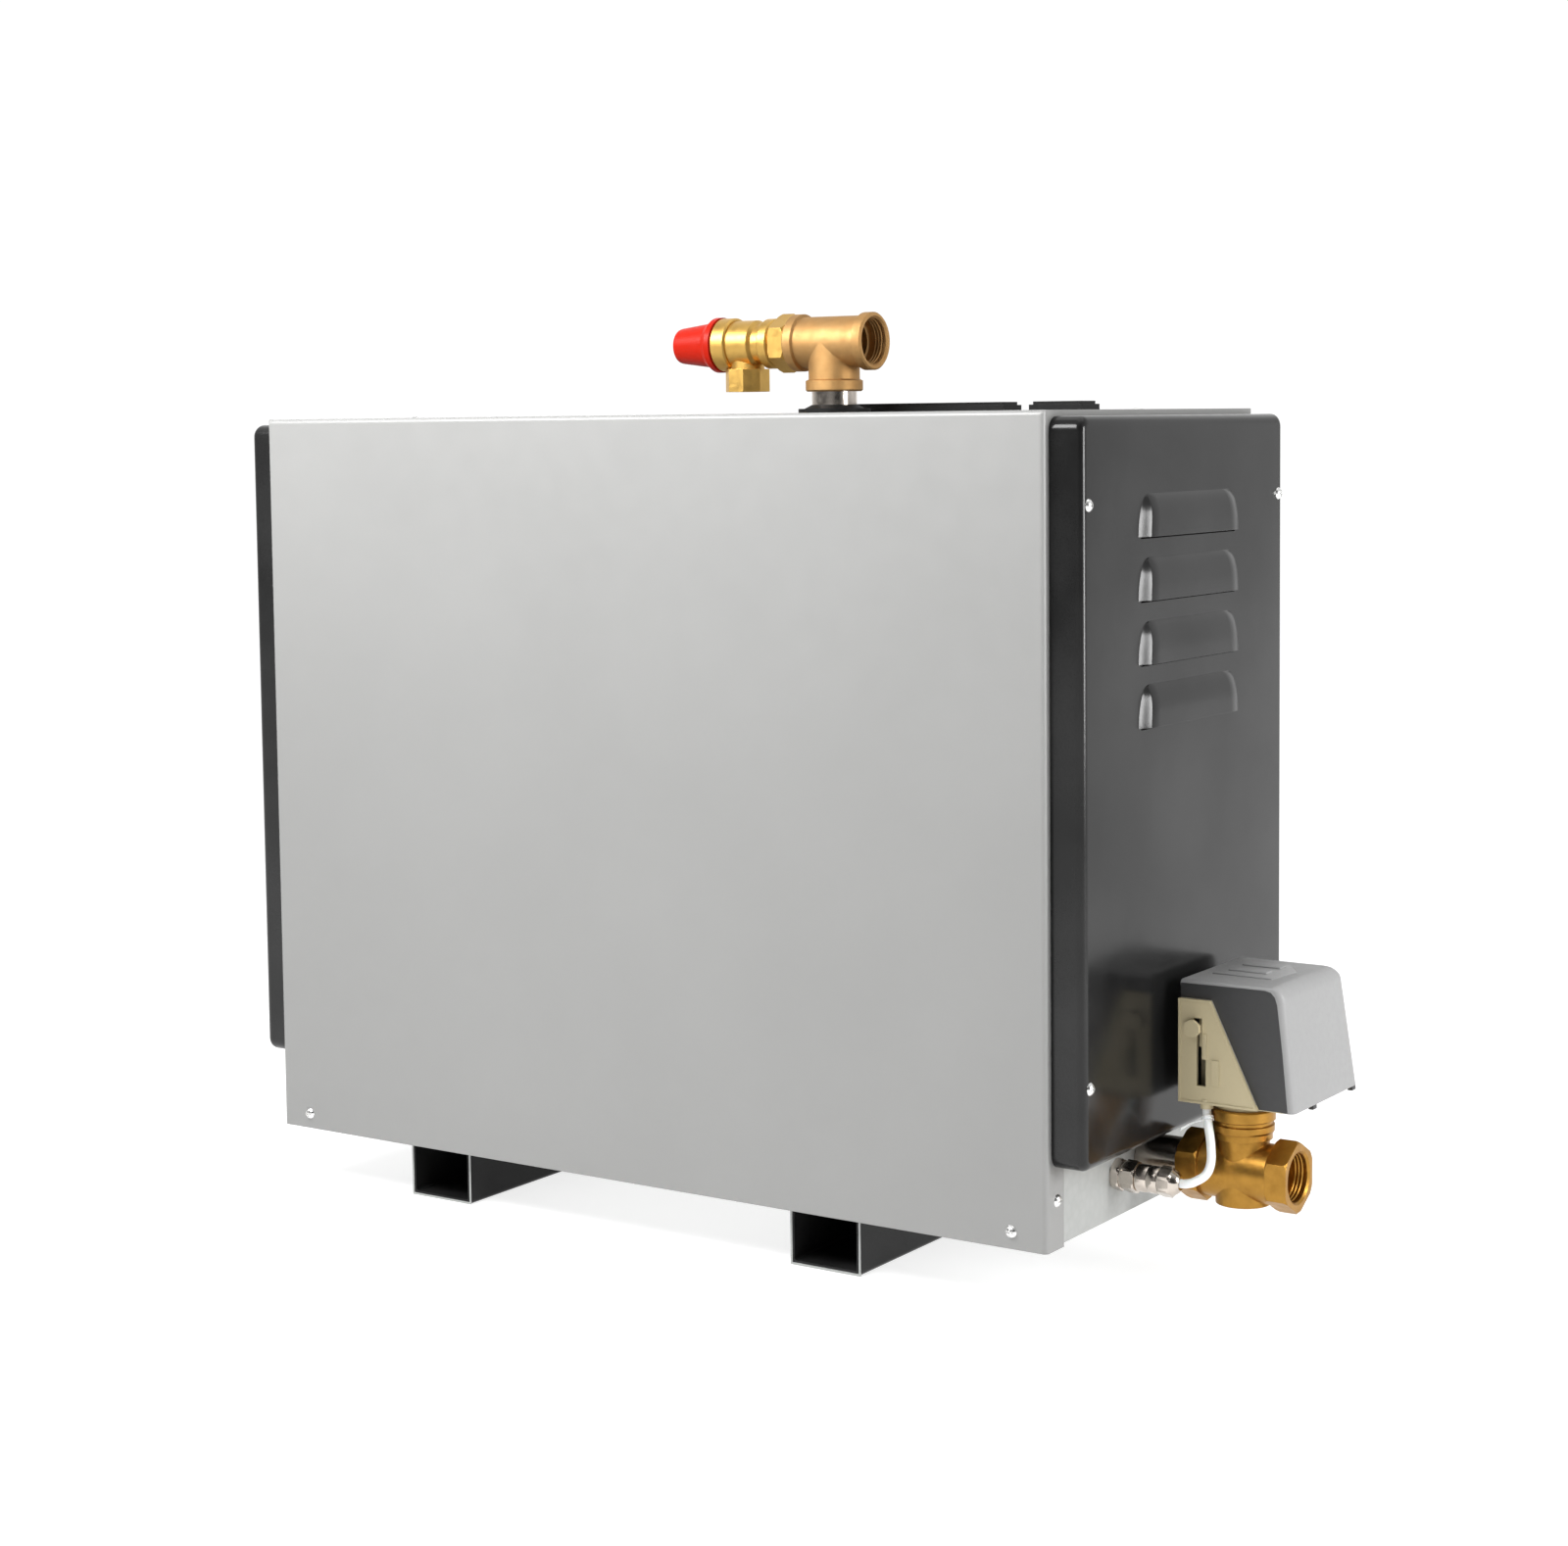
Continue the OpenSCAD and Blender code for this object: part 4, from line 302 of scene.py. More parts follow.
MATERIALS = {
    "black_paint": painted_metal("black_paint", (0.004, 0.004, 0.004), 0.2, mottle=0.2,
                                 Specular_IOR_Level=0.12),
    "silver_paint": painted_metal("silver_paint", (0.272, 0.272, 0.267), 0.44, peel_mm=0.012, mottle=0.03,
                                  metallic=0.15, edge_mm=0.6),
    "satin_black_paint": painted_metal("satin_black_paint", (0.005, 0.005, 0.005), 0.20, peel_mm=0.008,
                                       mottle=0.15, Specular_IOR_Level=0.33),
    "galvanised_steel": galvanised("galvanised_steel", (0.40, 0.41, 0.40), 0.46),
    "zinc_steel": bright_metal("zinc_steel", (0.88, 0.88, 0.87), 0.24),
    "black_plastic": moulded("black_plastic", (0.006, 0.006, 0.006), 0.42, Specular_IOR_Level=0.2),
    "grey_plastic": moulded("grey_plastic", (0.22, 0.22, 0.23), 0.45),
    "board_green": moulded("board_green", (0.02, 0.16, 0.07), 0.35),
    "stainless_steel": brushed_metal("stainless_steel", (0.62, 0.62, 0.63), 0.3),
    "black_rubber": moulded("black_rubber", (0.004, 0.004, 0.004), 0.6, grain=900, grain_mm=0.04,
                            Specular_IOR_Level=0.2),
    "brass": turned_brass("brass", (0.66, 0.41, 0.11), 0.4),
    "tee_brass": cast_brass("tee_brass", (0.42, 0.25, 0.10), 0.6, grain_mm=0.035,
                            tarnish=(0.46, 0.24, 0.08), tarnish_share=0.4),
    "valve_brass": cast_brass("valve_brass", (0.40, 0.21, 0.042), 0.38, grain_mm=0.06,
                              tarnish=(0.20, 0.09, 0.013), tarnish_share=0.5),
    "nickel_brass": bright_metal("nickel_brass", (0.60, 0.54, 0.48), 0.14, stain=0.6, direction="X"),
    "ceramic_white": moulded("ceramic_white", (0.80, 0.79, 0.75), 0.3),
    "spring_steel": bright_metal("spring_steel", (0.55, 0.55, 0.56), 0.25),
    "red_plastic": moulded("red_plastic", (0.38, 0.009, 0.001), 0.4, grain=1100, grain_mm=0.015,
                           spread=0.06, edge_mm=0.8, Specular_IOR_Level=0.15),
    "beige_plastic": moulded("beige_plastic", (0.53, 0.455, 0.285), 0.48, grain=1300, grain_mm=0.03),
    "dark_grey_plastic": moulded("dark_grey_plastic", (0.036, 0.036, 0.037), 0.50, grain=1100,
                                 grain_mm=0.05),
    "light_grey_plastic": moulded("light_grey_plastic", (0.285, 0.285, 0.285), 0.45, grain=1000,
                                  grain_mm=0.04, spread=0.04, edge_mm=0.8),
    "white_plastic": moulded("white_plastic", (0.80, 0.79, 0.74), 0.4),
    "white_cable": moulded("white_cable", (0.93, 0.93, 0.91), 0.36, grain=500, grain_mm=0.03, spread=0.02,
                           Subsurface_Weight=0.1),
}


def dress_cad_nodes():
    slots = {s["node"]: s["material_slot"] for s in frame["record"]["subparts"]}
    for node, part in frame["nodes"].items():
        for slot in part.material_slots:
            slot.material = MATERIALS[slots[node]]


# Mesh helpers

@contextmanager
def editing(mesh):
    bm = bmesh.new()
    bm.from_mesh(mesh)
    yield bm
    bm.to_mesh(mesh)
    bm.free()


def smooth(mesh, sharp):
    """Smooth shading, with creases where faces meet at more than the given angle in degrees."""
    mesh.shade_smooth()
    mesh.set_sharp_from_angle(angle=math.radians(sharp))


def piece(name, points, faces, slot, body=CASING, sharp=30, replaces=()):
    mesh = bpy.data.meshes.new(name)
    mesh.from_pydata([tuple(p) for p in points], [], faces)
    mesh.validate()
    with editing(mesh) as bm:
        bmesh.ops.recalc_face_normals(bm, faces=bm.faces)
    smooth(mesh, sharp)
    made = bpy.data.objects.new(name, mesh)
    bpy.context.collection.objects.link(made)
    made.data.materials.append(MATERIALS[slot])
    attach(made, body)
    if replaces:
        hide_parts(*replaces)
    return made


def side_of(direction):
    """Two unit vectors square to a direction and to each other."""
    seed = Vector((0, 0, 1)) if abs(direction.z) < 0.9 else Vector((1, 0, 0))
    u = direction.cross(seed).normalized()
    return u, direction.cross(u).normalized()


def ring_faces(rings, segments, closed=False):
    """Faces between rings of points, each joined to the next, and if closed the last one to the first."""
    faces = []
    for i in range(rings if closed else rings - 1):
        j = (i + 1) % rings
        for k in range(segments):
            n = (k + 1) % segments
            faces.append((i * segments + k, i * segments + n, j * segments + n, j * segments + k))
    return faces


def turned(name, profile, place, direction, slot, segments=64, flats=None, **options):
    """A closed profile of (distance along, radius) in mm, turned about an axis through place. With flats, it
    is cut to a hexagon of that width."""
    d = Vector(direction).normalized()
    u, v = side_of(d)
    points = []
    for along, radius in profile:
        for k in range(segments):
            a = 2 * math.pi * k / segments
            reach = radius
            if flats:
                off_flat = (a + math.pi / 6) % (math.pi / 3) - math.pi / 6
                reach = min(radius, flats / 2 / math.cos(off_flat))
            points.append(place + (d * along + (u * math.cos(a) + v * math.sin(a)) * reach) * MM)
    return piece(name, points, ring_faces(len(profile), segments, closed=True), slot, **options)


def swept(name, path, radius, slot, sides, **options):
    """A round tube of the given radius in metres along a path of points."""
    count = len(path)
    points = []
    u = None
    for i, p in enumerate(path):
        ahead = path[min(i + 1, count - 1)]
        behind = path[max(i - 1, 0)]
        t = (ahead - behind).normalized()
        if u is None:
            u = side_of(t)[0]
        u = (u - t * u.dot(t)).normalized()
        v = t.cross(u)
        for k in range(sides):
            a = 2 * math.pi * k / sides
            points.append(p + (u * math.cos(a) + v * math.sin(a)) * radius)
    faces = ring_faces(count, sides)
    faces.append(tuple(range(sides)))
    faces.append(tuple(range((count - 1) * sides, count * sides)))
    return piece(name, points, faces, slot, **options)


# A thread's outline over one pitch, as (share of the pitch, share of the rise), and its steps in a turn
THREAD_SHAPE = ((-0.5, 0.0), (-0.32, 0.0), (-0.06, 1.0), (0.06, 1.0), (0.32, 0.0), (0.5, 0.0))
THREAD_STEPS = 40
# One over the share of its length in which a thread fades at each end
THREAD_FADE = 6


def screw_thread(name, place, direction, length, root, crest, pitch, slot):
    """A helical ridge from its root radius to its crest radius, in mm, that fades at both ends."""
    d = Vector(direction).normalized()
    u, v = side_of(d)
    turns = (length - pitch) / pitch
    rows = int(turns * THREAD_STEPS)
    points = []
    for i in range(rows + 1):
        s = i / rows
        a = 2 * math.pi * turns * s
        fade = min(1.0, THREAD_FADE * s, THREAD_FADE * (1 - s))
        for along, rise in THREAD_SHAPE:
            radius = root + (crest - root) * rise * fade
            where = d * (pitch / 2 + (length - pitch) * s + along * pitch)
            points.append(place + (where + (u * math.cos(a) + v * math.sin(a)) * radius) * MM)
    n = len(THREAD_SHAPE)
    faces = [(i * n + k, i * n + k + 1, (i + 1) * n + k + 1, (i + 1) * n + k)
             for i in range(rows) for k in range(n - 1)]
    return piece(name, points, faces, slot)


def spline(route, steps):
    """Points of a smooth curve through every point of the route."""
    path = []
    last = len(route) - 1
    for i in range(last):
        a, b, c, d = (route[max(0, min(last, i + k))] for k in (-1, 0, 1, 2))
        for k in range(steps):
            t = k / steps
            path.append(0.5 * (2 * b + (c - a) * t + (2 * a - 5 * b + 4 * c - d) * t * t
                               + (3 * b - a - 3 * c + d) * t ** 3))
    path.append(route[last])
    return path


def shifted(outline, a, b):
    return [(x + a, y + b) for x, y in outline]


BEVEL_PROFILE = 0.6
BEVEL_SHARP = 40


def soft_prism(name, outline, low, high, plane, edge, slot, segments=2, **options):
    """An outline of (a, b) points in mm, extruded from low to high along the axis square to plane, with
    bevelled edges. The plane is "xz" for a front view, "yz" for a side view or "xy" for a top view."""

    def point(a, b, c):
        return {"xz": at(a, c, b), "yz": at(c, a, b), "xy": at(a, b, c)}[plane]

    count = len(outline)
    points = [point(a, b, c) for c in (low, high) for a, b in outline]
    faces = [tuple(range(count)), tuple(range(2 * count - 1, count - 1, -1))]
    faces += [(k, (k + 1) % count, count + (k + 1) % count, count + k) for k in range(count)]
    made = piece(name, points, faces, slot, **options)
    with editing(made.data) as bm:
        bmesh.ops.bevel(bm, geom=bm.edges[:], offset=edge * MM, segments=segments, profile=BEVEL_PROFILE,
                        affect="EDGES", clamp_overlap=True)
        bmesh.ops.recalc_face_normals(bm, faces=bm.faces)
    smooth(made.data, BEVEL_SHARP)


# Pipe threads in the open mouths and on the water nipple: the mount, the slot, how far outside its face the
# thread starts, which way it runs from there, its length, root radius, crest radius and pitch

ONE_INCH_PITCH = 2.31
HALF_INCH_PITCH = 1.81
INWARD = -1
OUTWARD = 1
THREADS = (
    ("steam_outlet", "tee_brass", 0.2, INWARD, 12, 15.2, 14.6, ONE_INCH_PITCH),
    ("drain_outlet", "valve_brass", 0.2, INWARD, 12, 15.2, 14.6, ONE_INCH_PITCH),
    ("safety_outlet", "brass", -0.8, INWARD, 10, 9.37, 8.85, HALF_INCH_PITCH),
    ("water_inlet", "brass", 0.6, OUTWARD, 13, 10.0, 10.47, HALF_INCH_PITCH),
)


def make_threads():
    mounts = {mount["name"]: mount for mount in frame["record"]["mounts"]}
    for name, slot, start, way, length, root, crest, pitch in THREADS:
        out = Vector(mounts[name]["axis"])
        place = Vector(mounts[name]["pos_m"]) + out * start * MM
        screw_thread(f"{name}_thread", place, out * way, length, root, crest, pitch, slot)


# Lead of the drain actuator, with the cable tie round it and its gland

LEAD_R = 2.75
LEAD_SIDES = 20
ROUTE_STEPS = 8
LEAD_ROUTE = [
    (358, 114, 116), (358, 114, 108), (361, 110, 100), (365, 105, 90), (367, 101, 80), (365.5, 97, 73),
    (360, 92.8, 68.8), (356, 91.4, 67.4), (353, 91, 67), (351, 91, 67), (340, 91, 67), (312, 91, 67),
    (303, 91, 67), (300, 91, 67), (297, 91, 67), (290, 89, 66.6), (280, 80, 65.5), (255, 46, 63),
    (225, 30, 62), (150, 30, 62), (60, 30, 62), (0, 30, 62), (-35, 30, 62), (-60, 30, 62),
    (-95, 40, 64), (-130, 80, 66), (-165, 140, 68), (-190, 190, 72), (-200, 220, 82), (-199, 230, 98),
]


def make_lead():
    path = spline([at(*p) for p in LEAD_ROUTE], ROUTE_STEPS)
    swept("lead", path, LEAD_R * MM, "white_cable", LEAD_SIDES, replaces=("actuator_lead",))


TIE_PLACE = (359.5, 112.1, 104)
TIE_AXIS = (0.3, -0.4, -0.85)
TIE_HALF_WIDTH = 1.2
TIE_INNER_R = LEAD_R + 0.1
TIE_OUTER_R = LEAD_R + 1.1
TIE_SEGMENTS = 32
TAIL_ROUTE = ((358.3, 109.4, 103.4), (354, 108.2, 102.2), (350, 106.6, 100.4), (346.5, 104.8, 98.2),
              (345, 104, 97))
TAIL_ACROSS = Vector((0.3, -0.3, 1))
TAIL_THROUGH = Vector((0.5, -0.5, 0))
TAIL_SECTION = ((-1, -0.5), (1, -0.5), (1, 0.5), (-1, 0.5))
TAIL_HALF_WIDTH = 0.5
TAIL_SPREAD = 0.75


def make_tie():
    """A cable tie round the lead just under the actuator, with its tail cut long."""
    ring = [(-TIE_HALF_WIDTH, TIE_INNER_R), (-TIE_HALF_WIDTH, TIE_OUTER_R),
            (TIE_HALF_WIDTH, TIE_OUTER_R), (TIE_HALF_WIDTH, TIE_INNER_R)]
    turned("tie_band", ring, at(*TIE_PLACE), TIE_AXIS, "white_cable", TIE_SEGMENTS)
    tail = spline([at(*p) for p in TAIL_ROUTE], ROUTE_STEPS)
    points = []
    for i, p in enumerate(tail):
        width = TAIL_HALF_WIDTH + TAIL_SPREAD * (i / (len(tail) - 1)) ** 3
        for across, through in TAIL_SECTION:
            points.append(p + (TAIL_ACROSS * across * width + TAIL_THROUGH * through) * MM)
    faces = ring_faces(len(tail), len(TAIL_SECTION))
    faces += [(0, 1, 2, 3), tuple(len(points) - 1 - k for k in range(4))]
    piece("tie_tail", points, faces, "white_cable")


# Each part of the gland, from the casing's inside face outwards: its width across flats, none where it is
# round, its segments, its crease angle and its profile

NUT_FLATS = 18
CAP_FLATS = 17
NUT_R = NUT_FLATS / math.sqrt(3)
CAP_R = CAP_FLATS / math.sqrt(3)
GLAND_BORE = LEAD_R + 0.1
GLAND_WALL = 1.5
GLAND_PARTS = (
    ("gland_body", NUT_FLATS, 96, 18, (
        (0, GLAND_BORE), (0, NUT_R - 1), (1, NUT_R), (4.5, NUT_R), (5.5, NUT_R - 1), (5.7, 8.5), (7.3, 8.5),
        (7.5, NUT_R - 1), (8.4, NUT_R), (14.8, NUT_R), (15.9, NUT_R - 1.1), (16, GLAND_BORE))),
    ("gland_sleeve", None, 64, 40, (
        (15.9, GLAND_BORE), (15.9, 7.9), (16.6, 8.5), (23.2, 8.5), (23.7, 8.1), (24.4, 8.1), (24.9, 8.5),
        (30.6, 8.4), (31.2, 7.9), (31.6, GLAND_BORE))),
    ("gland_nut", CAP_FLATS, 96, 18, (
        (31.5, GLAND_BORE), (31.5, CAP_R - 1), (32.3, CAP_R), (38.6, CAP_R), (39.6, CAP_R - 1), (40.4, 7.9),
        (42.6, 6.6), (43.9, 5.2), (44.4, 4.4), (44.4, GLAND_BORE))),
    ("gland_locknut", NUT_FLATS, 96, 18, (
        (-5.5, GLAND_BORE), (-5.5, NUT_R - 0.8), (-4.9, NUT_R), (-2.2, NUT_R), (-1.6, NUT_R - 0.8),
        (-1.6, GLAND_BORE))),
)


def make_gland():
    low, high = node_box("cable_gland")
    place = at(HALF_WIDTH - GLAND_WALL, (low.y + high.y) / 2, (low.z + high.z) / 2)
    for name, flats, segments, sharp, profile in GLAND_PARTS:
        replaced = ("cable_gland",) if name == "gland_body" else ()
        turned(name, profile, place, (1, 0, 0), "nickel_brass", segments, flats, sharp=sharp,
               replaces=replaced)


# Feet: a bare rim round each open end, a little proud of the painted tube

CUT_OUTER = 0.05
CUT_INNER = 1.55
CUT_PROUD = 0.15


def make_foot_ends():
    for name in ("foot_left", "foot_right"):
        low, high = node_box(name)
        for end, y in (("front", low.y), ("back", high.y)):
            points = []
            for inset, proud in ((CUT_OUTER, -CUT_PROUD), (CUT_INNER, -CUT_PROUD),
                                 (CUT_INNER, CUT_PROUD), (CUT_OUTER, CUT_PROUD)):
                left, right = low.x + inset, high.x - inset
                under, over = low.z + inset, high.z - inset
                points += [at(left, y + proud, under), at(right, y + proud, under),
                           at(right, y + proud, over), at(left, y + proud, over)]
            piece(f"{name}_{end}_cut", points, ring_faces(4, 4, closed=True), "galvanised_steel")


# Actuator: a cover with soft edges, the dark end panel flush in its front, and clips under its edge. Its
# outlines are measured from the cover's low corner.

ACT_LEAN = 8.0
ACT_H = 76.0
ACT_WALL = 1.8
ACT_LIP = 4.0
ACT_EDGE = 0.4
ACT_LEAST_R = 0.3
ACT_SMALL_R = 1.3
ACT_LEFT_BACK_R = 2.6
ACT_FRONT_R = 4.2
ACT_BACK_R = 8.0
CORNER_STEPS = 6
WALL_ROWS = 6
ROUNDING_ROWS = 9
# The skin's rings up to this one are its inner lip and its lower edge
OUTSIDE_FROM = 3

act_low, act_high = node_box("actuator_cover")
ACT_W = act_high.x - act_low.x
ACT_TOP = act_low.z + ACT_H

PLATE_HOLE = ((2.4, 1.5), (49.56, 1.5), (21.57, 62.68), (2.4, 62.68))
LID_FIELD = ((10, 24), (ACT_W - 26, 24), (ACT_W - 22, 52), (ACT_W - 34, 70), (18, 70), (10, 52))
LID_BAR = ((16, 34), (ACT_W - 34, 34), (ACT_W - 34, 43), (16, 43))
LID_BAR_STEP = 20
END_PANEL = ((52.7, 0.4), (71.6, 0.4), (68.2, 36), (65.4, 60), (64.6, 66), (63.2, 70.4), (60.4, 73.2),
             (56.5, 74.0), (30, 73.8), (0.4, 73.6), (0.4, 64.7), (21.6, 64.7))
END_PANEL_DEPTHS = (-0.15, 1.2)
CLIP_OUTLINE = ((-3, -3.2), (3, -3.2), (2.4, 0.6), (-2.4, 0.6))
CLIP_DEPTHS = (-4.5, -1.2)
CLIP_PLACES = (146.2, 206.0)


def cover_ring(height, near, far):
    """One level of the actuator cover's skin, set in by near at its left and front and by far at its right
    and back, with its corners in order from the front left."""
    taper = ACT_LEAN * height / ACT_H
    left, front = act_low.x + near, act_low.y + near
    right, back = act_high.x - taper - far, act_high.y - taper - far
    ring = []
    for x, y, begin, radius in ((left, front, 180, ACT_SMALL_R), (right, front, 270, ACT_FRONT_R),
                                (right, back, 0, ACT_BACK_R), (left, back, 90, ACT_LEFT_BACK_R)):
        radius = max(ACT_LEAST_R, radius - far / 2)
        centre_x = x + radius if x == left else x - radius
        centre_y = y + radius if y == front else y - radius
        for k in range(CORNER_STEPS + 1):
            a = math.radians(begin + 90 * k / CORNER_STEPS)
            ring.append(at(centre_x + radius * math.cos(a), centre_y + radius * math.sin(a),
                           act_low.z + height))
    return ring


def make_actuator_cover():
    levels = [(ACT_LIP, ACT_WALL, ACT_WALL), (ACT_EDGE, ACT_WALL, ACT_WALL), (0, ACT_EDGE, ACT_EDGE),
              (ACT_EDGE, 0, 0)]
    levels += [((ACT_H - ACT_BACK_R) * (i + 1) / WALL_ROWS, 0, 0) for i in range(WALL_ROWS)]
    for i in range(ROUNDING_ROWS):
        a = math.pi / 2 * (i + 1) / ROUNDING_ROWS
        turn = 1 - math.cos(a)
        levels.append((ACT_H - ACT_BACK_R * (1 - math.sin(a)), ACT_SMALL_R * turn ** 2, ACT_BACK_R * turn))
    rings = [cover_ring(*level) for level in levels]
    count = len(rings[0])
    points = [p for ring in rings for p in ring]
    # the flat front is left out here, and filled round its opening below
    faces = [face for i, face in enumerate(ring_faces(len(rings), count))
             if i // count < OUTSIDE_FROM or i % count != CORNER_STEPS]
    faces.append(tuple(range(len(points) - count, len(points))))
    outside = range(OUTSIDE_FROM, len(rings))
    border = [i * count + CORNER_STEPS + 1 for i in outside]
    border += [i * count + CORNER_STEPS for i in reversed(outside)]
    hole = list(range(len(points), len(points) + len(PLATE_HOLE)))
    points += [at(x, act_low.y, z) for x, z in shifted(PLATE_HOLE, act_low.x, act_low.z)]
    loops = [[Vector((points[k].x, points[k].z, 0)) for k in loop] for loop in (border, hole)]
    faces += [tuple((border + hole)[k] for k in face) for face in tessellate_polygon(loops)]
    piece("actuator_cover_skin", points, faces, "light_grey_plastic", sharp=32, replaces=("actuator_cover",))


def make_actuator_lid():
    """A low raised field on the cover, with two bars on it."""
    field = shifted(LID_FIELD, act_low.x, act_low.y)
    soft_prism("actuator_lid_field", field, ACT_TOP - 0.5, ACT_TOP + 0.9, "xy", 0.8, "light_grey_plastic")
    for k in range(2):
        bar = shifted(LID_BAR, act_low.x, act_low.y + LID_BAR_STEP * k)
        soft_prism(f"actuator_lid_bar_{k}", bar, ACT_TOP + 0.4, ACT_TOP + 1.9, "xy", 0.9,
                   "light_grey_plastic", segments=3)


def make_actuator_end_panel():
    """The dark panel in the cover's front, which ends at the beige plate's edge."""
    outline = shifted(END_PANEL, act_low.x, act_low.z)
    low, high = (act_low.y + depth for depth in END_PANEL_DEPTHS)
    soft_prism("actuator_end_skin", outline, low, high, "xz", 0.25, "dark_grey_plastic",
               replaces=("actuator_end_panel",))


def make_actuator_clips():
    low, high = (act_high.x + depth for depth in CLIP_DEPTHS)
    for i, y in enumerate(CLIP_PLACES):
        outline = shifted(CLIP_OUTLINE, y, act_low.z)
        soft_prism(f"cover_clip_{i}", outline, low, high, "yz", 0.5, "dark_grey_plastic")


# Side covers: a folded skin with softly drawn louvres over their openings

COVER_OUT = 22.0
COVER_BEND = 5.5
COVER_CORNER = 8.5
COVER_SHARP = 35
OUTLINE_STEPS = 8
BEND_STEPS = 12
WELD = 1e-6

LOUVRE_COUNT = 4
LOUVRE_W = 136.0
LOUVRE_H = 26.0
LOUVRE_OUT = 5.0
LOUVRE_PITCH = 38.5
LOUVRE_TOP = 47.0
LOUVRE_END = 8.2
LOUVRE_LEAN = 13.0
LOUVRE_LEAST = 0.01
LOUVRE_SHARP = 50
LOUVRE_ROWS = 24
RAMP_STEPS = 12
RAMP_CURVE = 0.15
MIDDLE_STEPS = 12
# The pressed sheet's thickness, the lift over which it is reached, and the least lift with an inside face
SHEET = 1.3
SHEET_FROM = 1.5
INSIDE_FROM = 0.3
LOUVRE_GAP = 0.02
# The opening behind a louvre, from the middle of its lower edge
OPENING = ((-65, -1.2), (65, -1.2), (62, 7), (55, 15), (-55, 15), (-62, 7))


def rounded_outline(low, high, radius):
    """A rounded rectangle in two axes, counter-clockwise from its right side."""
    centres = ((high[0] - radius, high[1] - radius), (low[0] + radius, high[1] - radius),
               (low[0] + radius, low[1] + radius), (high[0] - radius, low[1] + radius))
    outline = []
    for quarter, (x, y) in enumerate(centres):
        for i in range(OUTLINE_STEPS + 1):
            a = math.pi / 2 * (quarter + i / OUTLINE_STEPS)
            outline.append((x + radius * math.cos(a), y + radius * math.sin(a)))
    return outline


def louvre_places(low, high):
    """The middle of each louvre's lower edge."""
    y = (low.y + high.y) / 2
    return [(y, high.z - LOUVRE_TOP - LOUVRE_H - i * LOUVRE_PITCH) for i in range(LOUVRE_COUNT)]


def make_cover_skin(name, side):
    """The folded sheet: walls, bends and a face with an opening behind each louvre."""
    low, high = node_box(name)
    rings = [(0.0, 0.0), (0.0, COVER_OUT - COVER_BEND)]
    for i in range(BEND_STEPS):
        a = math.pi / 2 * (i + 1) / BEND_STEPS
        rings.append((COVER_BEND * (1 - math.cos(a)), COVER_OUT - COVER_BEND * (1 - math.sin(a))))
    points = []
    for inset, out in rings:
        outline = rounded_outline((low.y + inset, low.z + inset), (high.y - inset, high.z - inset),
                                  COVER_CORNER - inset)
        points += [at(side * (HALF_WIDTH + out), y, z) for y, z in outline]
    faces = ring_faces(len(rings), len(outline))
    start = len(points)
    loops = [outline] + [shifted(OPENING, y, z) for y, z in louvre_places(low, high)]
    points += [at(side * (HALF_WIDTH + COVER_OUT), y, z) for loop in loops for y, z in loop]
    filled = tessellate_polygon([[Vector((y, z, 0)) for y, z in loop] for loop in loops])
    faces += [tuple(start + k for k in face) for face in filled]
    made = piece(f"{name}_skin", points, faces, "satin_black_paint", replaces=(name,))
    with editing(made.data) as bm:
        bmesh.ops.remove_doubles(bm, verts=bm.verts, dist=WELD)
        bm.normal_update()
        inward = [face for face in bm.faces if face.normal.x * side < -0.01]
        bmesh.ops.reverse_faces(bm, faces=inward)
    smooth(made.data, COVER_SHARP)


def louvre_row(z):
    """One row across a louvre: places along it and how far each stands out, ramped at both ends."""
    t = min(1.0, z / LOUVRE_H)
    rise = max(LOUVRE_LEAST, 1 - t ** 4)
    edge = LOUVRE_W / 2 - LOUVRE_LEAN * (1 - math.sqrt(1 - t * t))
    run = LOUVRE_END * rise
    ramp = []
    for k in range(RAMP_STEPS):
        e = k / RAMP_STEPS
        ramp.append((edge - run * e, (1 - RAMP_CURVE) * e + RAMP_CURVE * e * e * (3 - 2 * e)))
    middle = [((edge - run) * (1 - 2 * k / MIDDLE_STEPS), 1.0) for k in range(MIDDLE_STEPS + 1)]
    far_ramp = [(-y, height) for y, height in reversed(ramp)]
    return [(y, LOUVRE_OUT * rise * height) for y, height in ramp + middle + far_ramp]


def make_louvres(name, side):
    outside = []
    for r in range(LOUVRE_ROWS + 1):
        z = LOUVRE_H * r / LOUVRE_ROWS
        outside += [(lift, y, z) for y, lift in louvre_row(z)]
    inside = [(lift - SHEET * min(1.0, lift / SHEET_FROM), y, z) for lift, y, z in outside]
    layer = len(outside)
    columns = layer // (LOUVRE_ROWS + 1)
    lifts = [lift for lift, y, z in outside]
    quads = [(k, k + 1, k + columns + 1, k + columns)
             for r in range(LOUVRE_ROWS) for k in range(r * columns, (r + 1) * columns - 1)]
    faces = quads + [tuple(layer + n for n in quad) for quad in quads
                     if min(lifts[n] for n in quad) >= INSIDE_FROM]
    faces += [(k, k + 1, layer + k + 1, layer + k) for k in range(columns - 1)
              if min(lifts[k:k + 2]) > INSIDE_FROM]
    face_x = HALF_WIDTH + COVER_OUT + LOUVRE_GAP
    for i, (middle_y, base_z) in enumerate(louvre_places(*node_box(name))):
        points = [at(side * (face_x + out), middle_y + y, base_z + z) for out, y, z in outside + inside]
        piece(f"{name}_louvre_{i}", points, faces, "satin_black_paint", sharp=LOUVRE_SHARP)


def make_side_covers():
    for name, side in (("right_side_cover", 1), ("left_side_cover", -1)):
        make_cover_skin(name, side)
        make_louvres(name, side)


# Floor and light

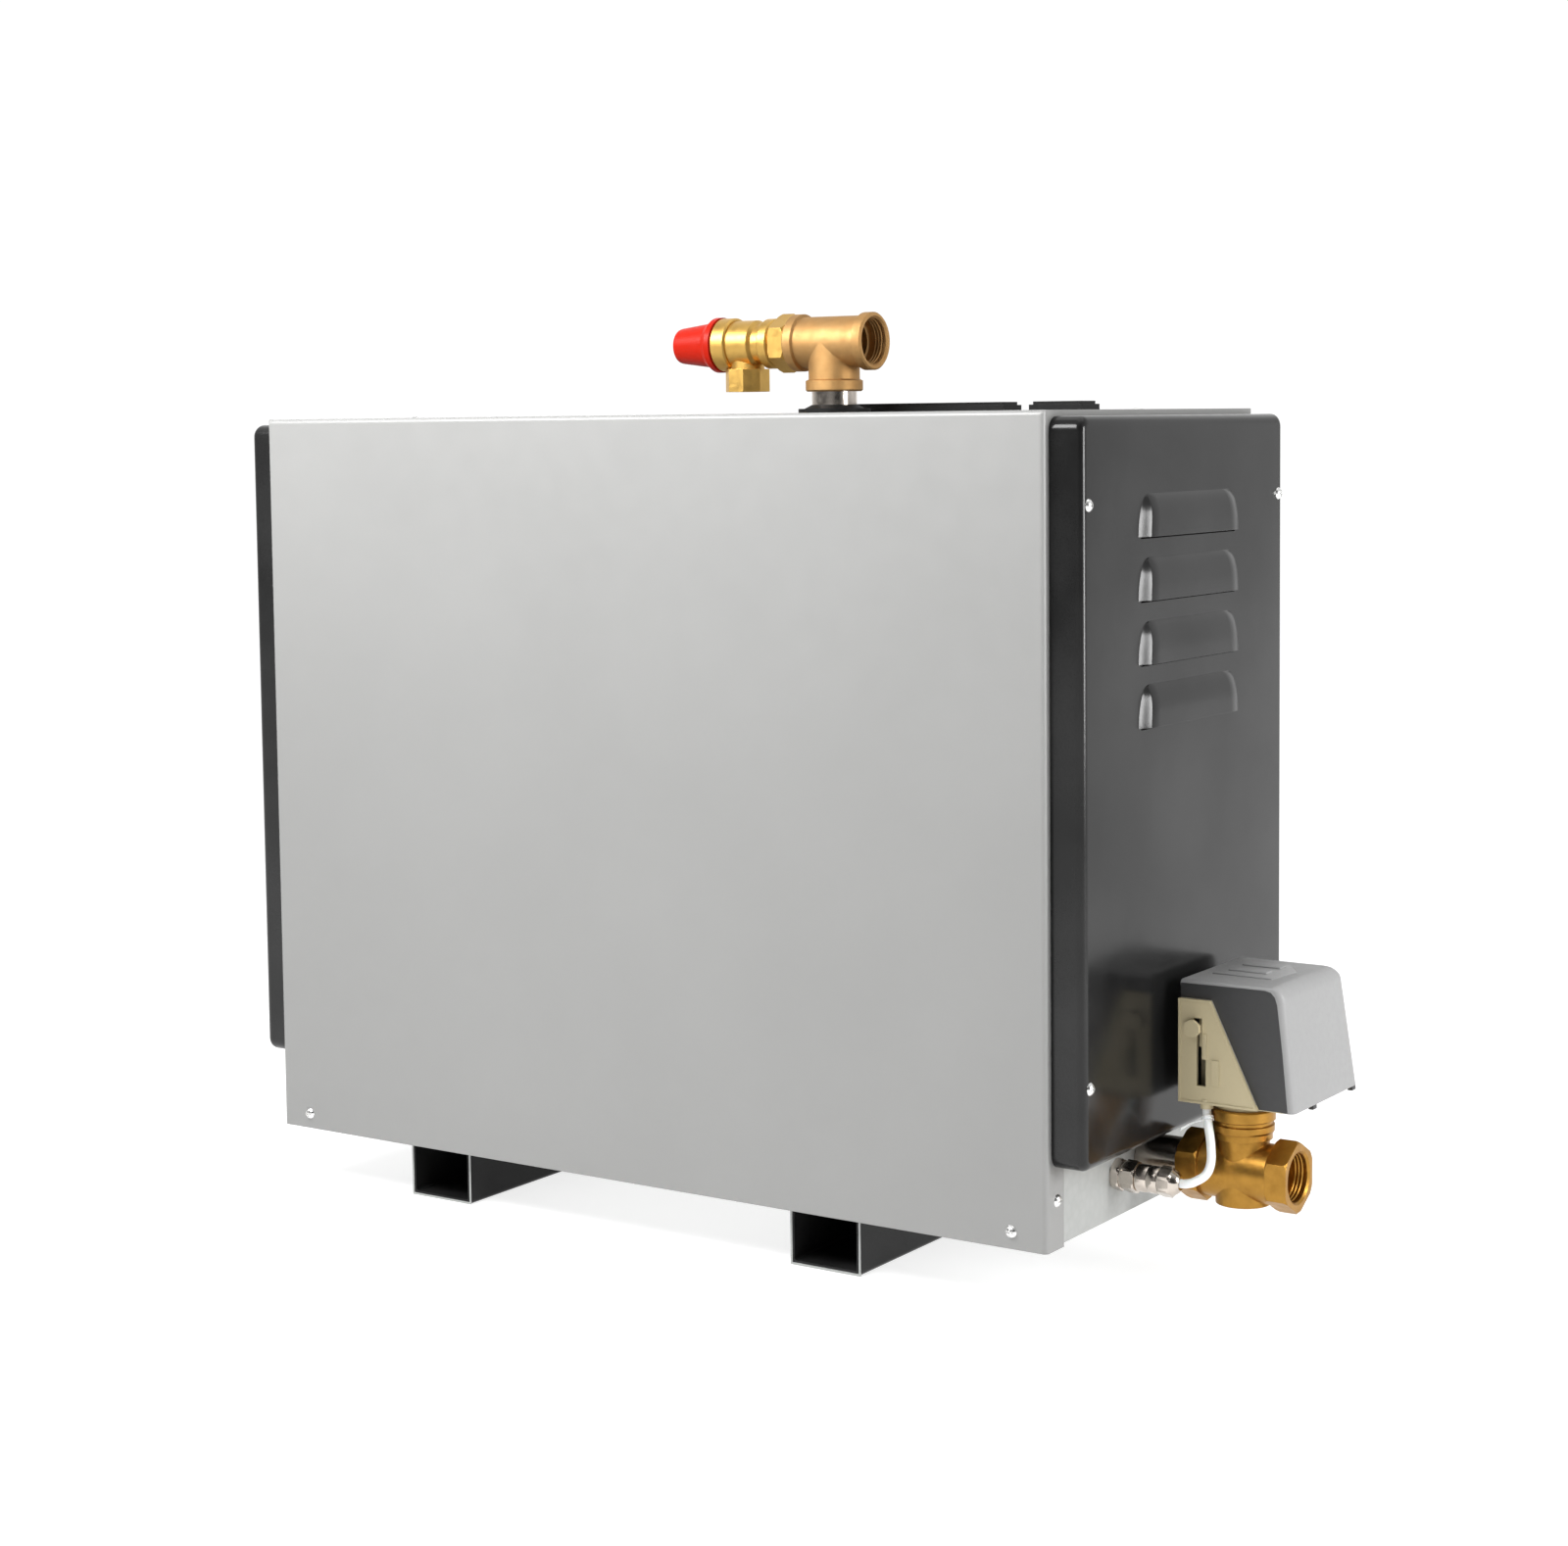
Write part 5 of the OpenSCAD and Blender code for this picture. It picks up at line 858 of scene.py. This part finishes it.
FLOOR_HALF = 6.0
FLOOR_TONE = 0.42
FLOOR_GLOW = 0.76
WHITE = (1, 1, 1, 1)


def make_floor():
    corners = [(x * FLOOR_HALF, y * FLOOR_HALF, 0) for x, y in ((-1, -1), (1, -1), (1, 1), (-1, 1))]
    mesh = bpy.data.meshes.new("floor")
    mesh.from_pydata(corners, [], [(0, 1, 2, 3)])
    floor = bpy.data.objects.new("floor", mesh)
    bpy.context.collection.objects.link(floor)
    s = Shader("floor", (FLOOR_TONE,) * 3, 0.9, Emission_Color=WHITE, Emission_Strength=FLOOR_GLOW)
    s.rough(s.noise(40, detail=3), spread=0.04)
    floor.data.materials.append(s.material)


# Area lights: place and target in metres from the origin, size in metres and power in watts
LIGHTS = (
    ("key", (-0.30, -0.78, 1.02), (-0.10, -0.15, 0.54), (1.2, 0.35), 22),
    ("right_softbox", (1.65, 0.05, 0.55), (0.2, 0.02, 0.35), (0.34, 0.7), 16),
    ("top", (0.2, 0.3, 2.3), (0, 0, 0.4), (2.0, 1.6), 8),
)


def make_light():
    for name, place, target, size, power in LIGHTS:
        data = bpy.data.lights.new(name, "AREA")
        data.shape = "RECTANGLE"
        data.size, data.size_y = size
        data.energy = power
        light = bpy.data.objects.new(name, data)
        bpy.context.collection.objects.link(light)
        light.location = place
        light.rotation_euler = (Vector(target) - Vector(place)).to_track_quat("-Z", "Y").to_euler()
    bpy.context.scene.view_settings.view_transform = "Standard"


# The studio's brightness by compass direction in degrees, from the front (0) round by the right (90), and its
# even tone overhead, blended in between two heights of the view's direction
STUDIO_STRENGTH = 1.1
STUDIO = [(-180, 1.05), (-120, 1.05), (-90, 0.6), (-60, 0.14), (-15, 0.14), (5, 0.30), (24, 0.28), (36, 0.05),
          (64, 0.05), (78, 0.45), (120, 0.7), (136, 0.95), (150, 0.85), (164, 0.8), (174, 1.0), (180, 1.05)]
OVERHEAD_FROM = 0.55
OVERHEAD_FULL = 0.9
OVERHEAD_TONE = 0.55


def grey(tone):
    return (tone, tone, tone, 1)


def make_world():
    world = bpy.data.worlds.new("studio")
    world.use_nodes = True
    tree = world.node_tree
    link = tree.links.new
    view = add_node(tree, "ShaderNodeSeparateXYZ")
    link(add_node(tree, "ShaderNodeTexCoord").outputs["Generated"], view.inputs["Vector"])
    front = add_node(tree, "ShaderNodeMath", operation="MULTIPLY")
    front.inputs[1].default_value = -1
    link(view.outputs["Y"], front.inputs[0])
    compass = add_node(tree, "ShaderNodeMath", operation="ARCTAN2")
    link(view.outputs["X"], compass.inputs[0])
    link(front.outputs["Value"], compass.inputs[1])
    share = add_node(tree, "ShaderNodeMapRange")
    share.inputs["From Min"].default_value = -math.pi
    share.inputs["From Max"].default_value = math.pi
    link(compass.outputs["Value"], share.inputs["Value"])
    ramp = add_node(tree, "ShaderNodeValToRGB")
    elements = ramp.color_ramp.elements
    while len(elements) > 1:
        elements.remove(elements[0])
    for i, (angle, tone) in enumerate(STUDIO):
        place = (angle + 180) / 360
        element = elements[0] if i == 0 else elements.new(place)
        element.position = place
        element.color = grey(tone / STUDIO_STRENGTH)
    link(share.outputs["Result"], ramp.inputs["Fac"])
    overhead = add_node(tree, "ShaderNodeMapRange", interpolation_type="SMOOTHSTEP")
    overhead.inputs["From Min"].default_value = OVERHEAD_FROM
    overhead.inputs["From Max"].default_value = OVERHEAD_FULL
    link(view.outputs["Z"], overhead.inputs["Value"])
    blend = add_node(tree, "ShaderNodeMix", data_type="RGBA")
    link(overhead.outputs["Result"], blend.inputs["Factor"])
    link(ramp.outputs["Color"], blend.inputs["A"])
    blend.inputs["B"].default_value = grey(OVERHEAD_TONE)
    background = tree.nodes["Background"]
    link(blend.outputs["Result"], background.inputs["Color"])
    background.inputs["Strength"].default_value = STUDIO_STRENGTH
    bpy.context.scene.world = world


make_camera()
make_lead()
dress_cad_nodes()
make_threads()
make_tie()
make_gland()
make_foot_ends()
make_actuator_cover()
make_actuator_lid()
make_actuator_end_panel()
make_actuator_clips()
make_side_covers()
make_floor()
make_world()
make_light()
